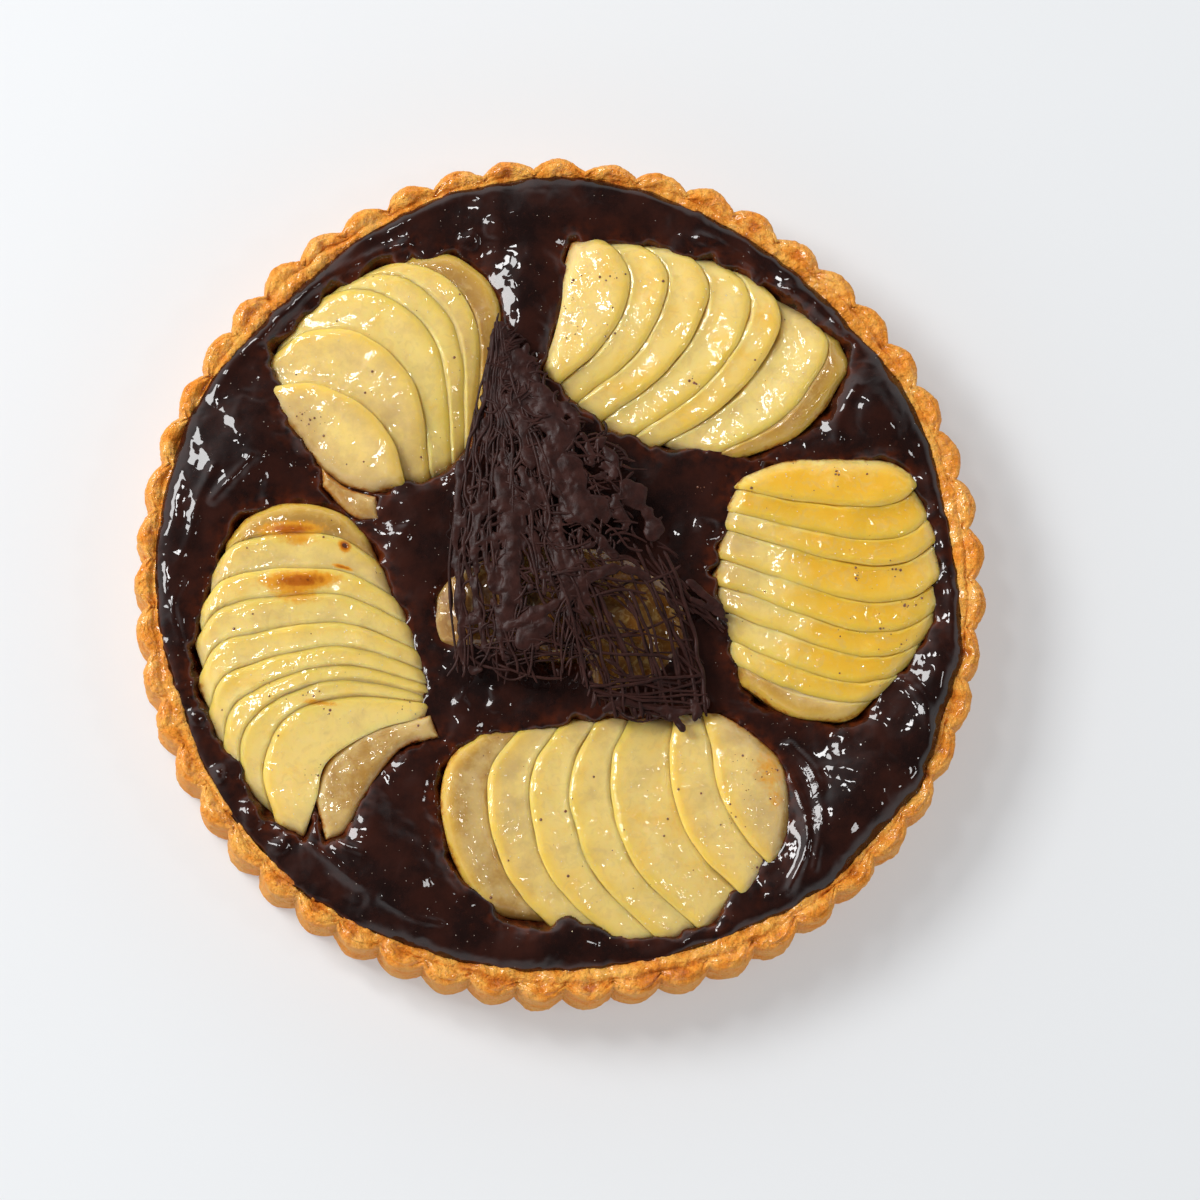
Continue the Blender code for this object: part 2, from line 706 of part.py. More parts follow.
def build_tart():
    clear_scene()
    biscuit = make_material("baked_crust", (0.72, 0.32, 0.075), 0.55)
    glossy = make_material("glazed_chocolate", (0.018, 0.007, 0.006), 0.18)
    pear = make_material("glazed_pear", (0.75, 0.58, 0.19), 0.3)
    matt = make_material("piped_chocolate", (0.045, 0.024, 0.022), 0.55)
    make_crust(biscuit)
    filling = make_filling(glossy)
    outlines = []
    for place, fan in FANS.items():
        outlines += make_fan(place, fan, pear)
        if place in TUCKED_SLICES:
            number = len(fan["steps"]) + 1
            outlines.append(make_tucked_slice(place, TUCKED_SLICES[place], number, pear))
    outlines.append(make_centre_pear(pear))
    cut_pockets(filling, outlines, glossy)
    make_net(matt)


build_tart()
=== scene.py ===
import json
import math

import bpy
import numpy as np
from mathutils import Matrix, Vector
from mathutils.bvhtree import BVHTree

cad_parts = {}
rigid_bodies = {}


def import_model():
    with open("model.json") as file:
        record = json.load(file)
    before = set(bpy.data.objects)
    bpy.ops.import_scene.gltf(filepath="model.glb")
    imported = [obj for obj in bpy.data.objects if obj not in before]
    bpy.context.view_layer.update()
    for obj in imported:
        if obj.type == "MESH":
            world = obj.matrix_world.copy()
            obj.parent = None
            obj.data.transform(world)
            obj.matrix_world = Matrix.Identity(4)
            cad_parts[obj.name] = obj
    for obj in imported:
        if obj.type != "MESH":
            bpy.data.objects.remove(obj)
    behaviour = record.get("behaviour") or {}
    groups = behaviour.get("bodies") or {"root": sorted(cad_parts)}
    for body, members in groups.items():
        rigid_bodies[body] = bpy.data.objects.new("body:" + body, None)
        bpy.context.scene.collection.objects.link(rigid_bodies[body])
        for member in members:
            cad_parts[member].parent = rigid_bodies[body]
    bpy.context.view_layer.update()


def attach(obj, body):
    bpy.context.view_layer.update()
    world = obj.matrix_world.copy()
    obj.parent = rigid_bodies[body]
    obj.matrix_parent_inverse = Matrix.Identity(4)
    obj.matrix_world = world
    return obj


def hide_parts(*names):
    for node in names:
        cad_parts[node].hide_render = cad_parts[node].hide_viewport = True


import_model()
mm = 0.001


# numbers and curves, all in millimetres until makeMesh

def hashed(cells, seed):  # a fixed random value from -1 to 1 for each cell
    stirred = cells @ np.array([374761393, 668265263, 1442695041]) + seed * 974634777
    stirred &= 0xFFFFFFFF
    stirred = ((stirred ^ (stirred >> 13)) * 1274126177) & 0xFFFFFFFF
    stirred ^= stirred >> 16
    return (stirred & 0xFFFF) / 32767.5 - 1


def softNoise(points, size, seed=0):  # smooth values from -1 to 1, with bumps about size apart
    spots = np.asarray(points, float)
    if spots.shape[-1] == 2:
        spots = np.concatenate([spots, np.zeros_like(spots[..., :1])], axis=-1)
    spots = spots / size + 0.37
    base = np.floor(spots).astype(np.int64)
    share = spots - base
    share = share ** 3 * (share * (share * 6 - 15) + 10)
    total = np.zeros(spots.shape[:-1])
    for corner in np.ndindex(2, 2, 2):
        weight = np.prod(np.where(np.array(corner, bool), share, 1 - share), axis=-1)
        total += weight * hashed(base + np.array(corner), seed)
    return total


def roughNoise(points, size, seed=0, octaves=3):
    return sum(softNoise(points, size / 2 ** k, seed + k) / 2 ** k for k in range(octaves))


def smooth(values, low, high):  # 0 below low, 1 above high
    share = np.clip((values - low) / (high - low), 0, 1)
    return share * share * (3 - 2 * share)


def bell(values, middle, width):  # 1 at the middle, falling off on both sides
    return np.exp(-((values - middle) / width) ** 2)


def through(points, count):  # smooth curve through the points
    given = np.asarray(points, float)
    ends = np.vstack([2 * given[0] - given[1], given, 2 * given[-1] - given[-2]])
    place = np.linspace(0, len(given) - 1, count)
    start = np.minimum(place.astype(int), len(given) - 2)
    share = (place - start)[:, None]
    before, near, far, after = (ends[start + k] for k in range(4))
    bend = (2 * before - 5 * near + 4 * far - after) * share ** 2
    twist = (3 * near - before - 3 * far + after) * share ** 3
    return (2 * near + (far - before) * share + bend + twist) / 2


def along(line, shares):  # points at these shares of the line's length
    steps = np.linalg.norm(np.diff(line, axis=0), axis=1)
    place = np.concatenate([[0], np.cumsum(steps)]) / steps.sum()
    return np.column_stack([np.interp(shares, place, line[:, k]) for k in range(line.shape[1])])


def distanceTo(points, line, closed=False):  # from each point to the nearest place on the line
    flat = np.asarray(points, float).reshape(-1, 2)
    line = np.asarray(line, float)
    if closed:
        line = np.vstack([line, line[:1]])
    best = np.full(len(flat), 1e9)
    for start, end in zip(line[:-1], line[1:]):
        step = end - start
        share = np.clip((flat - start) @ step / max(step @ step, 1e-9), 0, 1)
        gap = flat - start - share[:, None] * step
        best = np.minimum(best, np.einsum("ij,ij->i", gap, gap))
    return np.sqrt(best).reshape(np.asarray(points).shape[:-1])


def insideOf(points, outline):  # counts the edges to the right of each point
    flat = np.asarray(points, float).reshape(-1, 2)
    crossings = np.zeros(len(flat), int)
    for start, end in zip(outline, np.roll(outline, -1, axis=0)):
        spans = (start[1] > flat[:, 1]) != (end[1] > flat[:, 1])
        slope = (end[0] - start[0]) / (end[1] - start[1] + 1e-12)
        crossings += spans & (flat[:, 0] < start[0] + slope * (flat[:, 1] - start[1]))
    return (crossings % 2 == 1).reshape(np.asarray(points).shape[:-1])


def depthInside(points, outline):  # positive inside the outline, negative outside
    gap = distanceTo(points, outline, closed=True)
    return np.where(insideOf(points, outline), gap, -gap)


def turnedBy(spots, x, y, degrees):  # distances from x, y along and across that direction
    angle = math.radians(degrees)
    right, up = spots[:, 0] - x, spots[:, 1] - y
    return right * math.cos(angle) + up * math.sin(angle), up * math.cos(angle) - right * math.sin(angle)


def hullOf(points):  # the outline of a tight band round the points
    ordered = sorted(map(tuple, points))
    outline = []
    for row in (ordered, ordered[::-1]):
        start = len(outline)
        for point in row:
            while len(outline) > start + 1:
                (ax, ay), (bx, by) = outline[-2:]
                if (bx - ax) * (point[1] - by) - (by - ay) * (point[0] - bx) > 0:
                    break
                outline.pop()
            outline.append(point)
        outline.pop()
    return np.array(outline)


# meshes

def put(name, data):  # an object in the scene
    piece = bpy.data.objects.new(name, data)
    bpy.context.scene.collection.objects.link(piece)
    return piece


def makeMesh(name, points, faces, material, layers=None):
    mesh = bpy.data.meshes.new(name)
    mesh.from_pydata((np.asarray(points) * mm).tolist(), [], faces)
    if material:
        mesh.materials.append(material)
    mesh.shade_smooth()
    for layerName, values in (layers or {}).items():
        attribute = mesh.attributes.new(layerName, "FLOAT", "POINT")
        attribute.data.foreach_set("value", np.asarray(values, np.float32).ravel())
    mesh.update()
    return put(name, mesh)


def makePoints(name, points, edges, layerName, values):  # a mesh without faces, for a tree to grow
    mesh = bpy.data.meshes.new(name)
    mesh.from_pydata(points, edges, [])
    attribute = mesh.attributes.new(layerName, "FLOAT", "POINT")
    attribute.data.foreach_set("value", np.array(values, np.float32))
    return put(name, mesh)


def ringFaces(rows, columns):  # rings that go outwards below, up, then inwards on top
    index = np.arange(rows * columns).reshape(rows, columns)
    following = np.roll(index, -1, axis=1)
    quads = np.stack([index[:-1], following[:-1], following[1:], index[1:]], axis=-1)
    return quads.reshape(-1, 4).tolist()


def gridFaces(rows, columns):  # quads of a sheet, and the points round its border
    index = np.arange(rows * columns).reshape(rows, columns)
    faces = np.stack([index[:-1, :-1], index[:-1, 1:], index[1:, 1:], index[1:, :-1]], axis=-1).reshape(-1, 4)
    return faces, np.concatenate([index[0, :-1], index[:-1, -1], index[-1, :0:-1], index[:0:-1, 0]])


def areaOf(outline):  # positive where the outline turns left
    ahead = np.roll(outline, -1, axis=0)
    return np.sum(outline[:, 0] * ahead[:, 1] - outline[:, 1] * ahead[:, 0])


def closeRing(faces, ring, centre, upwards):
    for start, end in zip(ring, np.roll(ring, -1)):
        faces.append([int(start), int(end), centre] if upwards else [int(end), int(start), centre])


def addWall(points, faces, rim, levels, middle):  # a wall from the rim through the levels, and a floor
    rings = [rim, *(np.arange(len(rim)) + len(points) + k * len(rim) for k in range(len(levels)))]
    for upper, lower in zip(rings, rings[1:]):
        quads = np.stack([upper, lower, np.roll(lower, -1), np.roll(upper, -1)], axis=-1)
        faces.extend(quads.tolist())
    points = np.vstack([points, *levels, [middle]])
    closeRing(faces, rings[-1], len(points) - 1, upwards=False)
    return points


def discGrid(count):  # even square cells laid out over a disc of radius 1
    side = np.linspace(-1, 1, count + 1)
    a, b = np.meshgrid(side, side, indexing="ij")
    wide = np.abs(a) > np.abs(b)
    with np.errstate(divide="ignore", invalid="ignore"):
        radius = np.where(wide, a, b)
        turn = np.where(wide, math.pi / 4 * b / a, math.pi / 2 - math.pi / 4 * a / b)
    turn = np.nan_to_num(turn)
    points = np.stack([radius * np.cos(turn), radius * np.sin(turn)], axis=-1).reshape(-1, 2)
    index = np.arange((count + 1) ** 2).reshape(count + 1, count + 1)
    faces = np.stack([index[:-1, :-1], index[1:, :-1], index[1:, 1:], index[:-1, 1:]], axis=-1).reshape(-1, 4)
    border = np.concatenate([index[:-1, 0], index[-1, :-1], index[:0:-1, -1], index[0, :0:-1]])
    return points, faces.tolist(), border


def settle(piece, *nodes, slot):
    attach(piece, "root")
    if nodes:
        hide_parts(*nodes)


# node trees

def add(tree, kind, inputs=None, output=0, **settings):
    node = tree.nodes.new(kind)
    for name, value in settings.items():
        setattr(node, name, value)
    for place, value in (inputs or {}).items():
        if isinstance(value, bpy.types.NodeSocket):
            tree.links.new(value, node.inputs[place])
        else:
            node.inputs[place].default_value = value
    return node.outputs[output]


def calc(tree, operation, *values):
    return add(tree, "ShaderNodeMath", dict(enumerate(values)), operation=operation)


def times(tree, *values):
    return calc(tree, "MULTIPLY", *values)


def plus(tree, *values):
    return calc(tree, "ADD", *values)


def spread(tree, value, strength):  # noise from 0 to 1 made to swing round zero
    return times(tree, calc(tree, "SUBTRACT", value, 0.5), strength)


def mixed(tree, share, first, second):
    colours = [(*c, 1.0) if isinstance(c, tuple) else c for c in (first, second)]
    return add(tree, "ShaderNodeMix", {0: share, 6: colours[0], 7: colours[1]}, 2, data_type="RGBA")


def speckled(tree, place, scale, detail=2.0, roughness=0.5, distortion=0.0):
    values = (scale, detail, roughness, distortion)
    names = ("Scale", "Detail", "Roughness", "Distortion")
    return add(tree, "ShaderNodeTexNoise", {"Vector": place, **dict(zip(names, values))})


def ramp(tree, value, low, high, start=0.0, end=1.0):
    values = {0: value, 1: low, 2: high, 3: start, 4: end}
    return add(tree, "ShaderNodeMapRange", values, interpolation_type="SMOOTHSTEP")


def layer(tree, name):
    return add(tree, "ShaderNodeAttribute", output=2, attribute_name=name)


def bumped(tree, height, strength, distance):
    return add(tree, "ShaderNodeBump", {"Height": height, "Strength": strength, "Distance": distance})


def coated(tree, colour, look, coats):  # coats: a value, where it starts and is full, strength, colour
    for value, low, high, strength, name in coats:
        colour = mixed(tree, ramp(tree, value, low, high, 0.0, strength), colour, look[name])
    return colour


def newGeometryTree(name, **sockets):  # returns the tree, its inputs and its output node
    tree = bpy.data.node_groups.new(name, "GeometryNodeTree")
    for socket, kind in (("Geometry", "Geometry"), *sockets.items(), ("Material", "Material")):
        label = socket.replace("_", " ")
        tree.interface.new_socket(label, in_out="INPUT", socket_type=f"NodeSocket{kind}")
    tree.interface.new_socket("Geometry", in_out="OUTPUT", socket_type="NodeSocketGeometry")
    return tree, tree.nodes.new("NodeGroupInput").outputs, tree.nodes.new("NodeGroupOutput")


def finishTree(tree, shape, given, made):  # ends a tree in real meshes with their material
    real = add(tree, "GeometryNodeRealizeInstances", {"Geometry": shape})
    painted = add(tree, "GeometryNodeSetMaterial", {"Geometry": real, "Material": given["Material"]})
    tree.links.new(painted, made.inputs[0])
    return tree


def field(tree, name):  # a named value of the points, for a geometry tree
    return add(tree, "GeometryNodeInputNamedAttribute", {0: name}, data_type="FLOAT")


def newMaterial(name):
    material = bpy.data.materials.new(name)
    material.use_nodes = True
    tree = material.node_tree
    place = add(tree, "ShaderNodeTexCoord", output=3)
    return material, tree, tree.nodes["Principled BSDF"], place


def dress(tree, shader, **sockets):  # sets or links the shader's sockets
    for name, value in sockets.items():
        socket = shader.inputs[name.replace("_", " ")]
        if isinstance(value, bpy.types.NodeSocket):
            tree.links.new(value, socket)
        elif isinstance(value, tuple) and len(value) == 3 and socket.type == "RGBA":
            socket.default_value = (*value, 1.0)
        else:
            socket.default_value = value


def makeCrustMaterial():
    material, tree, shader, place = newMaterial("bakedCrust")
    look = {
        "pale": (0.97, 0.46, 0.080),
        "wall": (0.80, 0.36, 0.075),
        "golden": (0.85, 0.285, 0.024),
        "deep": (0.56, 0.14, 0.008),
        "scorched": (0.20, 0.035, 0.004),
    }
    patches = speckled(tree, place, 150.0, 4.0, 0.62)
    grain = speckled(tree, place, 1300.0, 3.0, 0.65)
    top = layer(tree, "top")
    upper = mixed(tree, ramp(tree, patches, 0.35, 0.6), look["pale"], look["golden"])
    wall = mixed(tree, ramp(tree, patches, 0.4, 0.7), look["wall"], look["golden"])
    # Darker where the hollow layer is high: painted shade in the dimples, creases and flute valleys, along
    # the rim's inner edge and toward the foot. The noise patches and the darker top and bottom of the tart
    # are the crust's real browning.
    shadeAndBrowning = plus(tree, layer(tree, "hollow"), spread(tree, patches, 2.2))
    colour = coated(tree, mixed(tree, top, wall, upper), look, (
        (shadeAndBrowning, 0.25, 0.9, 1.0, "deep"),
        (shadeAndBrowning, 1.0, 1.5, 0.6, "scorched"),
        (grain, 0.58, 0.72, 0.45, "pale"),
        (grain, 0.42, 0.30, 0.6, "deep"),
    ))
    height = plus(tree, grain, times(tree, speckled(tree, place, 480.0, 3.0, 0.6), 2.0))
    normal = bumped(tree, height, 0.9, 0.0009)
    glaze = times(tree, top, ramp(tree, speckled(tree, place, 200.0, 3.0), 0.4, 0.56, 0.08, 0.9))
    wet = bumped(tree, speckled(tree, place, 520.0, 2.0, 0.5, 0.6), 0.6, 0.0009)
    dress(tree, shader, Base_Color=colour, Roughness=0.55, Specular_IOR_Level=0.15, Normal=normal,
          Coat_Weight=glaze, Coat_Roughness=0.1, Coat_Normal=wet,
          Subsurface_Weight=0.15, Subsurface_Scale=0.001, Subsurface_Radius=(2.0, 0.9, 0.3))
    return material


def makeChocolateMaterial():
    material, tree, shader, place = newMaterial("glazedChocolate")
    look = {
        "dark": (0.0095, 0.0032, 0.0026),
        "brown": (0.030, 0.0078, 0.0048),
        "thin": (0.12, 0.020, 0.004),
    }
    cloud = speckled(tree, place, 90.0, 4.0, 0.6)
    fine = speckled(tree, place, 900.0, 3.0, 0.6)
    colour = mixed(tree, ramp(tree, cloud, 0.35, 0.7), look["dark"], look["brown"])
    colour = mixed(tree, ramp(tree, fine, 0.55, 0.75, 0.0, 0.6), colour, look["brown"])
    thin = times(tree, layer(tree, "thin"), ramp(tree, speckled(tree, place, 420.0, 3.0), 0.3, 0.7))
    colour = mixed(tree, thin, colour, look["thin"])
    soft = bumped(tree, fine, 0.25, 0.0004)
    ripple = speckled(tree, place, 150.0, 1.0, 0.35, 0.5)
    wrinkle = speckled(tree, place, 430.0, 0.5, 0.4, 0.4)
    wet = bumped(tree, plus(tree, ripple, times(tree, wrinkle, 0.13)), 0.36, 0.0022)
    dress(tree, shader, Base_Color=colour, Roughness=0.6, Specular_IOR_Level=0.04, Normal=soft,
          Coat_Weight=1.0, Coat_Roughness=0.04, Coat_IOR=1.43, Coat_Normal=wet)
    return material


def makePearMaterial():
    material, tree, shader, place = newMaterial("glazedPear")
    look = {
        # amber: mostly the half pear's painted shade under the net
        "amber": (0.18, 0.066, 0.008),
        "tan": (0.43, 0.235, 0.058),
        "grey": (0.64, 0.45, 0.18),
        "pale": (0.86, 0.64, 0.22),
        "gold": (0.84, 0.47, 0.033),
        "edge": (0.80, 0.52, 0.075),
        "olive": (0.28, 0.165, 0.022),
        "toast": (0.74, 0.33, 0.022),
        "burnt": (0.47, 0.125, 0.005),
        "brown": (0.09, 0.018, 0.004),
    }
    cloud = speckled(tree, place, 150.0, 4.0, 0.62)
    fibre = speckled(tree, place, 650.0, 3.0, 0.6)
    tone = plus(tree, layer(tree, "tone"), spread(tree, cloud, 0.8))
    toast = plus(tree, layer(tree, "toast"), spread(tree, fibre, 0.6))
    fringe = plus(tree, layer(tree, "fringe"), spread(tree, speckled(tree, place, 480.0, 4.0, 0.65), 1.3))
    patchy = ramp(tree, speckled(tree, place, 210.0, 2.0), 0.3, 0.65, 0.35, 1.0)
    veins = speckled(tree, place, 330.0, 3.0, 0.6, 1.2)
    colour = coated(tree, look["amber"], look, (
        (tone, -0.8, -0.25, 1.0, "tan"),
        (tone, -0.2, 0.15, 1.0, "grey"),
        (tone, 0.1, 0.5, 1.0, "pale"),
        (tone, 0.45, 0.95, 1.0, "gold"),
    ))
    # A paler, yellower band along each slice's raised edge: painted light shining through and catching the
    # thin edge.
    colour = mixed(tree, times(tree, layer(tree, "edge"), 0.8), colour, look["edge"])
    colour = coated(tree, colour, look, ((veins, 0.5, 0.66, 0.3, "grey"),))
    # Olive painted shade where the slice above covers, in patches.
    colour = mixed(tree, times(tree, layer(tree, "shade"), patchy), colour, look["olive"])
    colour = coated(tree, colour, look, (
        (fibre, 0.55, 0.8, 0.3, "pale"),
        (toast, 0.15, 0.55, 1.0, "toast"),
        (toast, 0.5, 0.95, 1.0, "burnt"),
        (toast, 0.95, 1.25, 1.0, "brown"),
        (fringe, 0.45, 0.8, 0.7, "burnt"),
        (fringe, 0.72, 1.0, 1.0, "brown"),
    ))
    soft = bumped(tree, fibre, 0.15, 0.0003)
    drops = speckled(tree, place, 160.0, 1.0, 0.35, 1.6)
    crinkle = speckled(tree, place, 480.0, 0.5, 0.4, 1.0)
    patches = ramp(tree, speckled(tree, place, 75.0, 2.0), 0.42, 0.62, 0.25, 1.0)
    waves = times(tree, plus(tree, drops, times(tree, crinkle, 0.34)), patches)
    wet = bumped(tree, waves, 0.55, 0.0022)
    dress(tree, shader, Base_Color=colour, Roughness=0.45, Specular_IOR_Level=0.1, Normal=soft,
          Coat_Weight=1.0, Coat_Roughness=0.04, Coat_Normal=wet,
          Subsurface_Weight=0.75, Subsurface_Scale=0.0018, Subsurface_Radius=(2.4, 1.7, 0.6))
    return material


def makeNetMaterial():
    material, tree, shader, place = newMaterial("pipedChocolate")
    cloud = speckled(tree, place, 300.0, 4.0, 0.6)
    dark, pale = (0.020, 0.0068, 0.0054), (0.042, 0.0145, 0.0112)
    colour = mixed(tree, ramp(tree, cloud, 0.3, 0.7), dark, pale)
    normal = bumped(tree, speckled(tree, place, 1500.0, 3.0, 0.6), 0.25, 0.0003)
    dress(tree, shader, Base_Color=colour, Roughness=0.38, Specular_IOR_Level=0.14, Normal=normal)
    return material


def makeFloorMaterial():
    material, tree, shader, place = newMaterial("paleFloor")
    cloud = speckled(tree, place, 3.0, 2.0)
    colour = mixed(tree, cloud, (0.50, 0.51, 0.52), (0.52, 0.53, 0.54))
    dress(tree, shader, Base_Color=colour, Roughness=0.9, Specular_IOR_Level=0.1,
          Emission_Color=(0.97, 0.985, 1.0), Emission_Strength=0.315)
    return material


crustMaterial = makeCrustMaterial()
chocolateMaterial = makeChocolateMaterial()
pearMaterial = makePearMaterial()
netMaterial = makeNetMaterial()
print("materials made")


# crust

# hump, band and valley: height or depth, place from the rim's outer edge, width; crease: place, width;
# dimple: place, width, length along the rim
crust = {
    "lobes": 52, "firstLobe": math.radians(4.0), "lobeShift": math.radians(1.7),
    "radius": 110.6, "fluteDepth": 3.0, "rim": 27.0, "rimWave": 0.45, "footRound": 1.4, "lean": 0.7,
    "lipRound": 1.4, "lipDrop": 0.9, "base": 4.0, "inner": 103.0, "draft": 1.5, "columns": 24,
    "hump": (0.9, 1.0, 1.6), "crease": (3.2, 0.6), "band": (0.35, 4.9, 1.1), "valley": (1.3, 0.6, 2.3),
    "dimple": (1.9, 1.0, 1.7),
}


def onCircle(angle):
    return np.column_stack([np.cos(angle), np.sin(angle)])


def outOfRound(angle):
    return -0.5 * np.sin(2 * angle) - 0.8 * np.sin(3 * angle) + 0.15 * np.sin(11 * angle + 1.0)


# how far the inner edge strays from its smooth line, every 10 degrees
innerStray = (-0.7, -0.6, 2.1, 2.6, 0.4, -0.4, -0.7, -1.3, -0.2, 0.0, 0.7, 0.4,
              0.4, -1.1, -0.6, 1.0, 0.8, -0.4, -0.9, -1.9, -2.2, -0.8, 0.3, 1.4,
              1.6, 1.1, 1.2, 0.7, 0.5, 0.7, 0.1, 1.6, 0.1, 1.2, -0.8, 0.6)


def innerRadius(angle):
    wave = 0.85 * np.cos(angle + 2.88) + np.cos(2 * angle + 0.65)
    stray = np.interp(np.degrees(angle) % 360, np.arange(37) * 10, (*innerStray, innerStray[0]))
    return crust["inner"] + wave + 2.1 * np.cos(3 * angle + 1.68) + 0.65 * np.cos(4 * angle + 1.01) + stray


def rimHeight(angle):
    wave = crust["rimWave"] * np.sin(5 * angle + 0.7) * np.cos(3 * angle)
    return crust["rim"] + wave + 0.2 * np.sin(17 * angle)


def crustTree():
    tree, given, made = newGeometryTree("flutedPastry", Flute_Depth="Float", Dimple_Depth="Float",
                                        Crumb_Height="Float")
    wave = calc(tree, "ABSOLUTE", calc(tree, "COSINE", times(tree, field(tree, "lobe"), math.pi)))
    lobe = calc(tree, "POWER", wave, 0.85)
    place = add(tree, "GeometryNodeInputPosition")
    level = add(tree, "ShaderNodeVectorMath", {0: place, 1: (1.0, 1.0, 0.0)}, operation="MULTIPLY")
    outward = add(tree, "ShaderNodeVectorMath", {0: level}, operation="NORMALIZE")
    valley = calc(tree, "SUBTRACT", 1.0, lobe)
    inwards = times(tree, times(tree, valley, field(tree, "flute")), given["Flute Depth"])
    back = times(tree, inwards, -1.0)
    shift = add(tree, "ShaderNodeVectorMath", {0: outward, "Scale": back}, operation="SCALE")
    fluted = add(tree, "GeometryNodeSetPosition", {"Geometry": given["Geometry"], "Offset": shift})
    # a dimple in each lobe, of its own depth
    deep = times(tree, field(tree, "dimple"), given["Dimple Depth"])
    down = add(tree, "ShaderNodeCombineXYZ", {2: times(tree, deep, -1.0)})
    dimpled = add(tree, "GeometryNodeSetPosition", {"Geometry": fluted, "Offset": down})
    crumb = speckled(tree, add(tree, "GeometryNodeInputPosition"), 480.0, 4.0, 0.68)
    coarse = speckled(tree, add(tree, "GeometryNodeInputPosition"), 130.0, 2.0, 0.5)
    relief = plus(tree, calc(tree, "SUBTRACT", crumb, 0.5), spread(tree, coarse, 1.8))
    relief = times(tree, times(tree, relief, field(tree, "rough")), given["Crumb Height"])
    normal = add(tree, "GeometryNodeInputNormal")
    push = add(tree, "ShaderNodeVectorMath", {0: normal, "Scale": relief}, operation="SCALE")
    rough = add(tree, "GeometryNodeSetPosition", {"Geometry": dimpled, "Offset": push})
    return finishTree(tree, rough, given, made)


def baked(piece):  # the modifiers' result becomes a plain mesh
    graph = bpy.context.evaluated_depsgraph_get()
    mesh = bpy.data.meshes.new_from_object(piece.evaluated_get(graph))
    piece.modifiers.clear()
    piece.data = mesh
    mesh.shade_smooth()
    return mesh


def grown(piece, tree, values):  # runs a tree on the piece
    step = piece.modifiers.new("grow", "NODES")
    step.node_group = tree
    names = {item.name: item.identifier for item in tree.interface.items_tree if item.in_out == "INPUT"}
    for name, value in values.items():
        step[names[name]] = value
    baked(piece)


